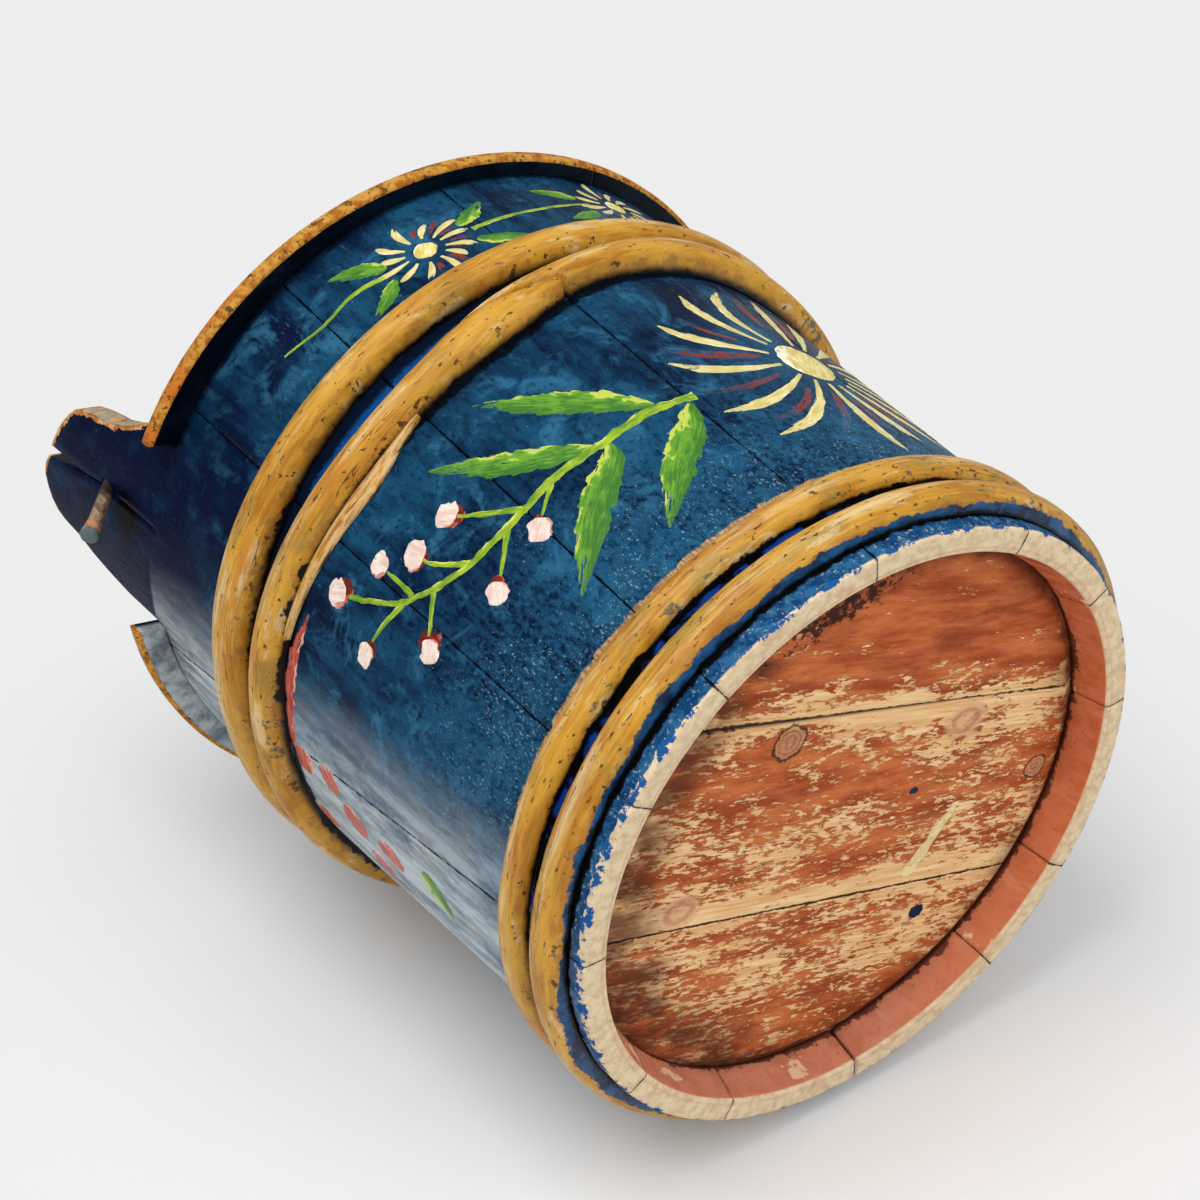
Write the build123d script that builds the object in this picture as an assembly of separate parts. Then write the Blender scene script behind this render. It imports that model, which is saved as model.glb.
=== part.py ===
from build123d import *
import os
from math import atan2, cos, degrees, exp, radians, sin, sqrt

# A painted wooden container, built of tapered staves like a small tub.
# Four split-branch hoops bind the staves, and a board head sits in a groove above the foot.
# The loose lid is notched round two tall ear staves and carries a crossbar handle.
# A slanting wooden peg through each ear slides in over the crossbar's end and locks the lid.
# Lengths are in millimetres and angles in degrees.
# +Z runs up the axis from the foot, and the ears stand at -X and +X.

# Wall of staves
base_radius = 110.0
wall_flare = 0.069
stave_thickness = 8.5
foot_wall_thickness = 12.5
chime_edge_thickness = 8.5
mouth_height = 246.0
edge_break = 1.0
joint_gap = 0.1
# Where each joint between two staves stands, at the foot and at the mouth
stave_joints = [
    (22.5, 21.0), (45.0, 46.0), (78.5, 81.0), (109.5, 108.0), (137.5, 132.0), (172.5, 160.0),
    (202.0, 204.0), (223.5, 228.0), (255.5, 258.5), (288.5, 290.5), (317.0, 316.0), (346.0, 340.0),
]
# One joint has shrunk open at the foot
open_joint = 2
open_joint_gap = 1.4

# Groove above the foot that holds the head
foot_recess = 12.0
groove_height = 4.0
groove_depth = 3.5

# Head of three boards
head_thickness = 9.0
head_clearance = 0.3
tongue_clearance = 0.1
head_outer_bevel = 5.0
head_inner_bevel = 10.0
# Direction and distance from the axis of each seam between the head's boards
head_seams = [(8.0, -40.5), (7.6, 32.2)]
head_seam_gap = 0.2
head_seam_opening = 0.9

# Hidden dowels that join the boards' edges
dowel_radius = 3.0
dowel_length = 30.0
dowel_clearance = 0.05
dowel_end_room = 0.5
head_dowel_reach = 45.0
lid_dowel_radius = 2.2
lid_dowel_reach = 62.0

# Ears: outline as offsets sideways and heights above the mouth, from one shoulder to the other
ear_shoulders = [(35.5, 20.0), (-37.0, 20.0)]
ear_profile = [
    (32.5, 46.0), (28.5, 60.0), (25.5, 76.0), (13.0, 84.0), (0.0, 79.0),
    (-14.0, 73.0), (-23.0, 64.0), (-26.5, 53.0), (-28.0, 42.0), (-32.0, 30.0),
]
# A split runs from the tip of the ear at -X down to its peg, and closes a little above the hole
split_tip_width = 5.0
split_width = 0.6
split_tip_offset = 1.0
split_closing_rise = 16.5
split_closing_offset = -2.3

# Locking pegs, slanting down and sideways through the ears, here drawn out
peg_radius = 2.6
peg_head_radius = 3.7
peg_running_clearance = 0.06
# Height of a peg's hole above the mouth
peg_rise = 34.5
peg_offset = 4.6
peg_slope = 48.0
peg_skew = 25.0
peg_length = 38.5
peg_locked_outside = 14.5
peg_travel = 12.0
peg_head_length = 9.5
peg_dome_share = 0.35
peg_tip_chamfer = 0.5

# Lid of three boards, cut a little wider towards the ears
lid_ear_overhang = 10.5
lid_side_overhang = 6.2
lid_thickness = 6.8
lid_seat_gap = 0.3
lid_edge_round = 1.8
notch_side_clearance = 1.2
notch_clearance = 1.0
lid_seams = [-47.0, 43.0]
lid_seam_gap = 0.2
lid_lift_room = 2.0

# Crossbar handle on the lid, its ends just under the locked pegs
bar_width = 34.0
bar_crown_rise = 9.0
bar_end_clearance = 1.0
bar_lock_clearance = 1.5
bar_edge_round = 3.0
finger_gap_width = 72.0
finger_gap_height = 20.0
treenail_radius = 3.0
treenail_clearance = 0.05
# Distance from the axis and sideways offset of the treenails on each half of the bar
treenail_places = [(45.0, 6.0), (72.0, -7.0), (98.0, 7.0)]

# Hoops of split branch: a strip of D section laid round the wall with its ends lapped
hoop_step = 9.0
hoop_seat_gap = 0.05
hoop_side_share = 0.4
lap_angle = 18.0
lap_gap = 0.35
lap_tip_width = 1.0
lap_shoulder_angle = 1.2
lap_blunt_share = 0.3
hoop_sway = 0.4
foot_hoop_height = 13.7
foot_hoop_width = 12.6
foot_hoop_thickness = 7.0
foot_hoop_lap = 62.0
foot_hoop_sway_turn = 40.0
base_hoop_height = 30.4
base_hoop_width = 11.6
base_hoop_thickness = 6.0
base_hoop_lap = 20.0
base_hoop_sway_turn = 100.0
# The middle hoop dips below its lap, and rises and widens beyond it
middle_hoop_height = 165.6
middle_hoop_width = 11.0
middle_hoop_thickness = 9.5
middle_hoop_lap = 256.5
middle_lap_blunt_share = 0.35
middle_dip, middle_dip_azimuth, middle_dip_spread = 6.5, 224.0, 26.0
middle_rise, middle_rise_azimuth, middle_rise_spread = 7.2, 283.0, 26.0
middle_lap_widening, middle_lap_azimuth, middle_lap_spread = 6.5, 245.0, 12.0
middle_rise_widening, middle_rise_widening_spread = 2.4, 16.0
# The thick upper hoop lies just above the middle one, and is widest beside the split ear
upper_hoop_spacing = 19.9
upper_hoop_width = 12.6
upper_hoop_thickness = 10.0
upper_hoop_lap = 40.0
upper_widening, upper_wide_azimuth, upper_wide_spread = 5.5, 185.0, 25.0
upper_wide_rise = 1.7
upper_rise, upper_rise_azimuth, upper_rise_spread = 1.0, 290.0, 40.0

# Thin sliver split off the lower edge of the middle hoop
sliver_thickness = 2.6
sliver_width = 6.5
sliver_end_width = 0.4
sliver_start = 184.0
sliver_widest = 213.0
sliver_end = 226.0
sliver_step = 6.0
sliver_bite = 1.2


def wall_radius(height):
    """Outer radius of the staved wall at a height."""
    return base_radius + wall_flare * height


def inner_radius(height):
    """Inner radius of the wall, whose staves thin out evenly from the head up to the mouth."""
    share = max(mouth_height - height, 0) / (mouth_height - foot_recess)
    thickness = stave_thickness + (foot_wall_thickness - stave_thickness) * share
    return wall_radius(height) - thickness


peg_height = mouth_height + peg_rise
upper_hoop_height = middle_hoop_height + upper_hoop_spacing
ear_tip_height = mouth_height + max(height for _, height in ear_profile)
prism_room = 10.0
above_ears = ear_tip_height + prism_room
lid_bottom = mouth_height + lid_seat_gap
lid_top = lid_bottom + lid_thickness
lid_ear_radius = wall_radius(mouth_height) + lid_ear_overhang
lid_side_radius = wall_radius(mouth_height) + lid_side_overhang
lid_lift = ear_tip_height - lid_bottom + lid_lift_room
head_top = foot_recess + head_thickness
peg_outside = peg_locked_outside + peg_travel
peg_inside = peg_length - peg_outside
bar_reach = inner_radius(mouth_height) - bar_end_clearance


def polar(radius, azimuth, height):
    """Point at a radius, azimuth and height."""
    return Vector(radius * cos(radians(azimuth)), radius * sin(radians(azimuth)), height)


# Staves

def ring_of_wall(top):
    """The whole staved wall as one ring up to a height, with the groove for the head."""
    groove_low = foot_recess + (head_thickness - groove_height) / 2
    groove_high = groove_low + groove_height
    outline = [
        (wall_radius(0) - edge_break, 0),
        (wall_radius(edge_break), edge_break),
        (wall_radius(top), top),
        (inner_radius(top), top),
    ]
    if top > mouth_height:
        outline.append((inner_radius(mouth_height), mouth_height))
    outline += [
        (inner_radius(groove_high), groove_high),
        (inner_radius(groove_high) + groove_depth, groove_high),
        (inner_radius(groove_low) + groove_depth, groove_low),
        (inner_radius(groove_low), groove_low),
        (inner_radius(foot_recess), foot_recess),
        (wall_radius(0) - chime_edge_thickness, 0),
    ]
    profile = make_face(Polyline(*[(r, 0, z) for r, z in outline], close=True))
    return revolve(profile, Axis.Z, 360)


def joint_plane(index, side):
    """Face of a stave at one joint, on the side of rising (+1) or falling (-1) azimuth."""
    foot_azimuth, mouth_azimuth = stave_joints[index % len(stave_joints)]
    foot = polar(wall_radius(0), foot_azimuth, 0)
    mouth = polar(wall_radius(mouth_height), mouth_azimuth, mouth_height)
    outward = polar(1, (foot_azimuth + mouth_azimuth) / 2, 0)
    sideways = Vector(0, 0, 1).cross(outward)
    foot_gap = open_joint_gap if index % len(stave_joints) == open_joint else joint_gap
    foot = foot + sideways * (side * foot_gap / 2)
    mouth = mouth + sideways * (side * joint_gap / 2)
    normal = (mouth - foot).cross(outward).normalized()
    if normal.dot(sideways) * side < 0:
        normal = normal * -1
    return Plane(origin=foot, x_dir=outward, z_dir=normal)


def ear_outline(azimuth):
    """Prism that keeps a full stave below the mouth and the ear's outline above it."""
    reach = wall_radius(above_ears) + prism_room
    points = [(offset, mouth_height + height) for offset, height in ear_profile]
    right, left = [(offset, mouth_height + height) for offset, height in ear_shoulders]
    crown = Spline([right] + points + [left])
    below = -prism_room
    body = Polyline(left, (left[0], mouth_height), (-reach, mouth_height), (-reach, below),
                    (reach, below), (reach, mouth_height), (right[0], mouth_height), right)
    face = Plane.YZ * make_face([crown, body])
    prism = extrude(face, amount=-reach)
    return Rot(0, 0, azimuth - 180) * prism


def peg_frame(azimuth):
    """Plane at the peg's hole on the outside of an ear, with its normal along the peg, outward."""
    radius = wall_radius(peg_height)
    hole_azimuth = 180 + degrees(peg_offset / radius)
    outward = polar(1, hole_azimuth, 0)
    sideways = outward.cross(Vector(0, 0, 1))
    level = outward * cos(radians(peg_skew)) + sideways * sin(radians(peg_skew))
    direction = level * cos(radians(peg_slope)) - Vector(0, 0, 1) * sin(radians(peg_slope))
    frame = Plane(origin=polar(radius, hole_azimuth, peg_height), z_dir=direction)
    return Plane(frame.location if azimuth == 180 else Rot(0, 0, azimuth - 180) * frame.location)


def peg_hole(azimuth):
    """Cutter for the slanting hole that the peg runs in."""
    bore = Cylinder(peg_radius + peg_running_clearance, 2 * peg_length)
    return peg_frame(azimuth) * bore


def ear_split():
    """Cutter for the split from the tip of the ear at -X down to its peg hole."""
    closing = peg_height + split_closing_rise
    half = split_width / 2
    tip_half = split_tip_width / 2
    face = Plane.YZ * make_face(Polyline(
        (split_tip_offset + tip_half, above_ears), (split_closing_offset + half, closing),
        (-peg_offset + half, peg_height), (-peg_offset - half, peg_height),
        (split_closing_offset - half, closing), (split_tip_offset - tip_half, above_ears),
        close=True))
    return extrude(face, amount=-(wall_radius(above_ears) + prism_room))


def make_staves():
    """Staves in order of azimuth; the two that cross the X axis carry the ears."""
    low_ring = ring_of_wall(mouth_height)
    tall_ring = ring_of_wall(above_ears)
    staves = {}
    plain = 0
    for index in range(len(stave_joints)):
        start = stave_joints[index][0]
        end = stave_joints[(index + 1) % len(stave_joints)][0]
        if start < 180 < end:
            ear, name = 180, "ear_stave_split"
        elif start > end:
            ear, name = 0, "ear_stave_whole"
        else:
            ear, name = None, f"stave_{plain + 1:02d}"
            plain += 1
        stave = low_ring if ear is None else tall_ring & ear_outline(ear)
        stave = split(stave, bisect_by=joint_plane(index, +1), keep=Keep.TOP)
        stave = split(stave, bisect_by=joint_plane(index + 1, -1), keep=Keep.TOP)
        if ear is not None:
            stave = stave - peg_hole(ear)
        if ear == 180:
            stave = stave - ear_split()
        staves[name] = stave
    return staves


# Head and lid boards

def seam_dowels(turn, distance, reach, height, radius, clearance):
    """Two dowels across one seam, or the holes for them when a clearance is given."""
    end_room = dowel_end_room if clearance else 0
    length = dowel_length + 2 * end_room
    dowel = Rot(90, 0, 0) * Cylinder(radius + clearance, length)
    pair = [Pos(x, distance, height) * dowel for x in (-reach, reach)]
    return [Rot(0, 0, turn) * one for one in pair]


def cut_out(solid, cutters):
    """Subtract each cutter in turn."""
    for cutter in cutters:
        solid = solid - cutter
    return solid


def seam_plane(turn, distance, normal_sign):
    """Plane of a board's edge, facing the side that is kept."""
    normal = Vector(-sin(radians(turn)), cos(radians(turn)), 0)
    return Plane(origin=normal * distance, z_dir=normal * normal_sign)


def make_head():
    """Three boards with edges bevelled down to a tongue that fits the groove."""
    tongue = groove_height - 2 * tongue_clearance
    middle = foot_recess + head_thickness / 2
    shoulder = inner_radius(middle + groove_height / 2) - head_clearance
    rim = inner_radius(middle - groove_height / 2) + groove_depth - head_clearance
    profile = make_face(Polyline(
        (0, 0, foot_recess), (shoulder - head_outer_bevel, 0, foot_recess),
        (shoulder, 0, middle - tongue / 2), (rim, 0, middle - tongue / 2),
        (rim, 0, middle + tongue / 2), (shoulder, 0, middle + tongue / 2),
        (shoulder - head_inner_bevel, 0, head_top), (0, 0, head_top), close=True))
    disc = revolve(profile, Axis.Z, 360)
    holes = []
    dowels = []
    for turn, distance in head_seams:
        where = (turn, distance, head_dowel_reach, middle, dowel_radius)
        holes += seam_dowels(*where, dowel_clearance)
        dowels += seam_dowels(*where, 0)
    (low_turn, low_distance), (high_turn, high_distance) = head_seams
    half = head_seam_gap / 2
    low = split(disc, bisect_by=seam_plane(low_turn, low_distance - half, -1), keep=Keep.TOP)
    high = split(disc, bisect_by=seam_plane(high_turn, high_distance + half, +1), keep=Keep.TOP)
    # The middle board has shrunk away at one end, so that its edge runs at a small angle
    opened = low_turn + degrees(atan2(-head_seam_opening, 2 * rim))
    shift = low_distance + half + head_seam_opening / 2
    centre = split(disc, bisect_by=seam_plane(opened, shift, +1), keep=Keep.TOP)
    centre = split(centre, bisect_by=seam_plane(high_turn, high_distance - half, -1), keep=Keep.TOP)
    boards = {"head_board_1": low, "head_board_2": centre, "head_board_3": high}
    boards = {name: cut_out(board, holes) for name, board in boards.items()}
    return boards, dowels


def lid_notch(azimuth):
    """Cutter for the notch that clears an ear, a little wider than its shoulders."""
    depth = 2 * lid_ear_radius
    (right, _), (left, _) = ear_shoulders
    width = right - left + 2 * notch_side_clearance
    slot = Pos(-depth / 2, (right + left) / 2, lid_bottom) * Box(depth, width, 4 * lid_thickness)
    core_radius = inner_radius(mouth_height) - notch_clearance
    core = Pos(0, 0, lid_bottom) * Cylinder(core_radius, 8 * lid_thickness)
    return Rot(0, 0, azimuth - 180) * (slot - core)


def bar_end_top():
    """Height of the crossbar's ends, which pass just under the pegs when these are pushed in."""
    inward = (wall_radius(peg_height) - bar_reach) / cos(radians(peg_skew))
    peg_axis = peg_height + inward * sin(radians(peg_slope)) / cos(radians(peg_slope))
    return peg_axis - peg_radius / cos(radians(peg_slope)) - bar_lock_clearance


def treenails(clearance):
    """Cylinders for the treenails through the bar and the lid, or for their holes."""
    height = bar_end_top() + bar_crown_rise - lid_bottom
    nail = Cylinder(treenail_radius + clearance, height)
    places = [(side * x, side * y) for x, y in treenail_places for side in (-1, 1)]
    return [Pos(x, y, lid_bottom + height / 2) * nail for x, y in places]


def bar_envelope():
    """The crossbar without its finger gap, rounded along its upper edges."""
    end_top = bar_end_top()
    outline = [
        Line((-bar_reach, lid_top), (bar_reach, lid_top)),
        Line((bar_reach, lid_top), (bar_reach, end_top)),
        ThreePointArc((bar_reach, end_top), (0, end_top + bar_crown_rise), (-bar_reach, end_top)),
        Line((-bar_reach, end_top), (-bar_reach, lid_top)),
    ]
    face = Plane.XZ * make_face(outline)
    bar = extrude(face, amount=bar_width / 2, both=True)
    crown = bar.faces().sort_by(Axis.Z)[-1]
    bar = fillet(crown.edges().filter_by(GeomType.CIRCLE), bar_edge_round)
    return bar & Pos(0, 0, lid_top) * Cylinder(bar_reach, 2 * (end_top + bar_crown_rise))


def make_lid():
    """Three boards, the crossbar handle, its treenails and the hidden dowels."""
    middle = (lid_bottom + lid_top) / 2
    disc = extrude(Pos(0, 0, lid_bottom) * Ellipse(lid_ear_radius, lid_side_radius), lid_thickness)
    disc = fillet(disc.edges().filter_by(GeomType.ELLIPSE), lid_edge_round)
    disc = disc - lid_notch(0) - lid_notch(180)
    holes = treenails(treenail_clearance)
    dowels = []
    for seam in lid_seams:
        where = (90, -seam, lid_dowel_reach, middle, lid_dowel_radius)
        holes += seam_dowels(*where, dowel_clearance)
        dowels += seam_dowels(*where, 0)
    half = lid_seam_gap / 2
    boards = {
        "lid_board_1": split(disc, bisect_by=seam_plane(90, -lid_seams[0] + half, +1), keep=Keep.TOP),
        "lid_board_3": split(disc, bisect_by=seam_plane(90, -lid_seams[1] - half, -1), keep=Keep.TOP),
    }
    centre = split(disc, bisect_by=seam_plane(90, -lid_seams[0] - half, -1), keep=Keep.TOP)
    centre = split(centre, bisect_by=seam_plane(90, -lid_seams[1] + half, +1), keep=Keep.TOP)
    boards["lid_board_2"] = centre
    boards = {name: cut_out(board, holes) for name, board in boards.items()}

    envelope = bar_envelope()
    gap_face = Plane.XZ * make_face([
        Line((-finger_gap_width / 2, lid_top), (finger_gap_width / 2, lid_top)),
        ThreePointArc((finger_gap_width / 2, lid_top), (0, lid_top + finger_gap_height),
                      (-finger_gap_width / 2, lid_top)),
    ])
    finger_gap = extrude(gap_face, amount=bar_width, both=True)
    bar = cut_out(envelope - finger_gap, treenails(treenail_clearance))
    trunk = envelope + disc
    nails = [nail & trunk for nail in treenails(0)]
    return boards, bar, nails, dowels


# Hoops

def bump(azimuth, centre, spread):
    """Smooth bump round an azimuth, 1 at its centre."""
    offset = (azimuth - centre + 180) % 360 - 180
    return exp(-(offset / spread) ** 2)


def crown_height(low, high, thickness, height):
    """How far a D section stands out from its seat at a height between its two edges."""
    side = hoop_side_share * thickness
    half = (high - low) / 2
    rise = thickness - side
    radius = (half * half + rise * rise) / (2 * rise)
    offset = height - (low + high) / 2
    return thickness - radius + sqrt(max(radius * radius - offset * offset, 0))


def hoop_section(azimuth, low, high, thickness, bottom, top):
    """The part of a D section between two heights, as a wire in the plane through the axis."""
    step_gap = 1 / cos(radians(hoop_step / 2))

    def place(height, outstand):
        seat = wall_radius(height) * step_gap + hoop_seat_gap
        return polar(seat + outstand, azimuth, height)

    heights = (bottom, (bottom + top) / 2, top)
    outer = [place(z, crown_height(low, high, thickness, z)) for z in heights]
    inner_low = place(bottom, 0)
    inner_high = place(top, 0)
    return Wire([
        Edge.make_line(inner_low, outer[0]),
        Edge.make_three_point_arc(outer[0], outer[1], outer[2]),
        Edge.make_line(outer[2], inner_high),
        Edge.make_line(inner_high, inner_low),
    ])


def lapped_hoop(edges, thickness, lap_start, blunt_share):
    """One strip laid round the wall: it starts blunt and low, and ends as a point above its start.

    edges gives the hoop's lower and upper edge at an azimuth.
    """
    lap_steps = round(lap_angle / hoop_step)
    lap_turns = [lap_angle * index / lap_steps for index in range(lap_steps + 1)]
    plain_angle = 360 - lap_angle
    plain_steps = round(plain_angle / hoop_step)
    plain_turns = [lap_angle + plain_angle * index / plain_steps for index in range(1, plain_steps)]
    turns = lap_turns + [lap_angle + lap_shoulder_angle] + plain_turns
    turns += [360 - lap_shoulder_angle] + [360 + turned for turned in lap_turns]
    sections = []
    for turned in turns:
        azimuth = lap_start - turned
        low, high = edges(azimuth)
        bottom, top = low, high
        tip_share = 1 - (lap_tip_width + lap_gap / 2) / (high - low)
        share = blunt_share + (tip_share - blunt_share) * (turned % 360) / lap_angle
        seam = low + (high - low) * share
        if turned <= lap_angle:
            top = seam - lap_gap / 2
        if turned >= 360:
            bottom = seam + lap_gap / 2
        sections.append(hoop_section(azimuth, low, high, thickness, bottom, top))
    return Solid.make_loft(sections, ruled=True)


def middle_edges(azimuth):
    """Edges of the middle hoop."""
    rise = bump(azimuth, middle_rise_azimuth, middle_rise_spread)
    dip = bump(azimuth, middle_dip_azimuth, middle_dip_spread)
    centre = middle_hoop_height - middle_dip * dip + middle_rise * rise
    width = middle_hoop_width
    width += middle_lap_widening * bump(azimuth, middle_lap_azimuth, middle_lap_spread)
    width += middle_rise_widening * bump(azimuth, middle_rise_azimuth, middle_rise_widening_spread)
    return centre - width / 2, centre + width / 2


def upper_edges(azimuth):
    """Edges of the upper hoop."""
    wide = bump(azimuth, upper_wide_azimuth, upper_wide_spread)
    rise = bump(azimuth, upper_rise_azimuth, upper_rise_spread)
    centre = upper_hoop_height + upper_wide_rise * wide + upper_rise * rise
    width = upper_hoop_width + upper_widening * wide
    return centre - width / 2, centre + width / 2


def straight_edges(centre, width, sway_turn):
    """Edges of a nearly level hoop."""
    def edges(azimuth):
        middle = centre + hoop_sway * sin(radians(2 * azimuth + sway_turn))
        return middle - width / 2, middle + width / 2
    return edges


def make_sliver():
    """The sliver that lies against the wall below the middle hoop."""
    steps = round((sliver_end - sliver_start) / sliver_step)
    sections = []
    for index in range(steps + 1):
        azimuth = sliver_start + (sliver_end - sliver_start) * index / steps
        reach = sliver_widest - sliver_start if azimuth < sliver_widest else sliver_end - sliver_widest
        share = max(1 - abs(azimuth - sliver_widest) / reach, 0)
        hoop_low, _ = middle_edges(azimuth)
        low = hoop_low - sliver_width * share - sliver_end_width
        high = hoop_low + sliver_bite
        sections.append(hoop_section(azimuth, low, high, sliver_thickness, low, high))
    return Solid.make_loft(sections, ruled=True)


def make_hoops():
    """The four hoops from the foot up."""
    foot = straight_edges(foot_hoop_height, foot_hoop_width, foot_hoop_sway_turn)
    base = straight_edges(base_hoop_height, base_hoop_width, base_hoop_sway_turn)
    middle = lapped_hoop(middle_edges, middle_hoop_thickness, middle_hoop_lap, middle_lap_blunt_share)
    return {
        "hoop_foot": lapped_hoop(foot, foot_hoop_thickness, foot_hoop_lap, lap_blunt_share),
        "hoop_base": lapped_hoop(base, base_hoop_thickness, base_hoop_lap, lap_blunt_share),
        "hoop_middle": middle + make_sliver(),
        "hoop_upper": lapped_hoop(upper_edges, upper_hoop_thickness, upper_hoop_lap, lap_blunt_share),
    }


# Locking pegs

def make_peg(azimuth):
    """A whittled peg: a straight shank that widens to a rounded end outside."""
    shank_end = peg_outside - peg_head_length
    dome_start = peg_outside - peg_head_radius * peg_dome_share
    tip_radius = peg_radius - peg_tip_chamfer
    shank_start = -peg_inside + peg_tip_chamfer
    outline = [
        Line((0, 0, -peg_inside), (tip_radius, 0, -peg_inside)),
        Line((tip_radius, 0, -peg_inside), (peg_radius, 0, shank_start)),
        Line((peg_radius, 0, shank_start), (peg_radius, 0, shank_end)),
        Line((peg_radius, 0, shank_end), (peg_head_radius, 0, dome_start)),
        Spline([(peg_head_radius, 0, dome_start), (0, 0, peg_outside)],
               tangents=[(0, 0, 1), (-1, 0, 0)]),
        Line((0, 0, peg_outside), (0, 0, -peg_inside)),
    ]
    peg = revolve(make_face(outline), Axis.Z, 360)
    return peg_frame(azimuth) * peg


def group(solids):
    """Separate solids kept together in one node."""
    return Compound([solid for item in solids for solid in item.solids()])


def print_travels():
    """Axis and travel of each moving piece from the pose that is modelled."""
    print(f"lid lifts along +Z by {lid_lift:.1f} to clear the ears")
    for azimuth in (180, 0):
        inward = peg_frame(azimuth).z_dir * -1
        print(f"peg at azimuth {azimuth} slides in by {peg_travel:.1f} along "
              f"({inward.X:.5f}, {inward.Y:.5f}, {inward.Z:.5f})")


def main():
    os.makedirs("parts", exist_ok=True)
    nodes = make_staves()
    head_boards, head_dowels = make_head()
    lid_boards, bar, nails, lid_dowels = make_lid()
    nodes.update(head_boards)
    nodes["head_dowels"] = group(head_dowels)
    nodes.update(make_hoops())
    nodes.update(lid_boards)
    nodes["lid_crossbar"] = bar
    nodes["lid_treenails"] = group(nails)
    nodes["lid_dowels"] = group(lid_dowels)
    nodes["lock_peg_split_ear"] = make_peg(180)
    nodes["lock_peg_whole_ear"] = make_peg(0)
    for name, shape in nodes.items():
        export_step(shape, f"parts/{name}.step")
    print_travels()


main()
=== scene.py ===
import itertools

import bpy
import numpy as np
from mathutils import Matrix, Vector


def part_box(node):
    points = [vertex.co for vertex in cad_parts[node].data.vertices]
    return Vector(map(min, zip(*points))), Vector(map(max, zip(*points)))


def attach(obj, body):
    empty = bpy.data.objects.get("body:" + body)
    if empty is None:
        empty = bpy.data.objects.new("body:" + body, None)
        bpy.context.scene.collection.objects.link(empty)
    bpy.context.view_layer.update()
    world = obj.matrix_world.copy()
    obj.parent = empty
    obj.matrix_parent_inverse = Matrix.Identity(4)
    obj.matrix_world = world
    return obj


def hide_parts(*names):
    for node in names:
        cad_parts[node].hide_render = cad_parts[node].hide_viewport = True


# The painted wooden container, dressed round its CAD frame: dense worn shapes for each piece,
# brush strokes that stand a little proud of the wall, and procedural paint and wood.
# Lengths are in metres, azimuths in degrees, in the frame's own axes.

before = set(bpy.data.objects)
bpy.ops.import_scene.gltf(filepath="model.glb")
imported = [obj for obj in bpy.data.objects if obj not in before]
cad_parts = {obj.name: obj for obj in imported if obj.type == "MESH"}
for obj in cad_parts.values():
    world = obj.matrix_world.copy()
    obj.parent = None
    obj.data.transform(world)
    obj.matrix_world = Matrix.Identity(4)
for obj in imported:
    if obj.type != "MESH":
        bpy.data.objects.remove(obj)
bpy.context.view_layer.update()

# Sizes of the wall, repeated from the CAD model
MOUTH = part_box("stave_01")[1].z
HEAD_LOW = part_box("head_board_2")[0].z
HEAD_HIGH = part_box("head_board_2")[1].z
BASE_RADIUS = 0.110
WALL_FLARE = 0.069
MOUTH_THICKNESS = 0.0085
FOOT_THICKNESS = 0.0125
CHIME_THICKNESS = 0.0085
GROOVE_HEIGHT = 0.004
GROOVE_DEPTH = 0.0035
# Azimuth of each joint between staves, at the foot and at the mouth
STAVE_JOINTS = [
    (22.5, 21.0), (45.0, 46.0), (78.5, 81.0), (109.5, 108.0), (137.5, 132.0), (172.5, 160.0),
    (202.0, 204.0), (223.5, 228.0), (255.5, 258.5), (288.5, 290.5), (317.0, 316.0), (346.0, 340.0),
]
OPEN_JOINT = 2
JOINT_GAP = 0.0001
OPEN_JOINT_GAP = 0.0014

# Ears: outline as offsets sideways and heights above the mouth
EAR_SHOULDERS = [(0.0355, 0.020), (-0.037, 0.020)]
EAR_PROFILE = [
    (0.0325, 0.046), (0.0285, 0.060), (0.0255, 0.076), (0.013, 0.084), (0.0, 0.079),
    (-0.014, 0.073), (-0.023, 0.064), (-0.0265, 0.053), (-0.028, 0.042), (-0.032, 0.030),
]
# The split's middle and half width at the ear's tip, and its middle, height and half width lower down
SPLIT_TIP = (0.001, 0.0025)
SPLIT_CLOSING = (-0.0023, 0.051, 0.0003)
PEG_RISE = 0.0345
PEG_OFFSET = 0.0046
PEG_SLOPE = 48.0
PEG_SKEW = 25.0
PEG_RADIUS = 0.0026
PEG_HEAD_RADIUS = 0.0037
PEG_OUTSIDE = 0.0265
PEG_INSIDE = 0.012
PEG_HEAD_LENGTH = 0.0095
# Height and reach of the painted shadow round a peg's hole
PEG_SHADOW = (0.2660, 0.0125)
HOLE_CLEARANCE = 0.00006
PEG_BORE_REACH = 0.03

# Reference radius that turns azimuths into lengths on a stave's own sheet
SHEET_RADIUS = 0.118

UP = Vector((0, 0, 1))
MM = 0.001


# Noise

def lattice(cells, seed):
    """Pseudo-random value from -1 to 1 for each whole-number cell."""
    x, y, z = cells[..., 0], cells[..., 1], cells[..., 2]
    mixed = (x * 374761393 + y * 668265263 + z * 2147483629 + seed * 1274126177) & 0xFFFFFFFF
    mixed = ((mixed ^ (mixed >> 13)) * 1103515245) & 0xFFFFFFFF
    mixed = ((mixed ^ (mixed >> 16)) * 69069) & 0xFFFFFFFF
    return ((mixed >> 8) & 0xFFFF) / 32767.5 - 1


def noise(points, seed=0):
    """Smooth noise from -1 to 1 at each point, with lattice cells one unit wide."""
    base = np.floor(points).astype(np.int64)
    share = points - base
    share = share * share * (3 - 2 * share)
    total = 0
    for corner in itertools.product((0, 1), repeat=3):
        weight = np.prod(np.where(corner, share, 1 - share), axis=-1)
        total = total + weight * lattice(base + np.array(corner), seed)
    return total


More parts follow.
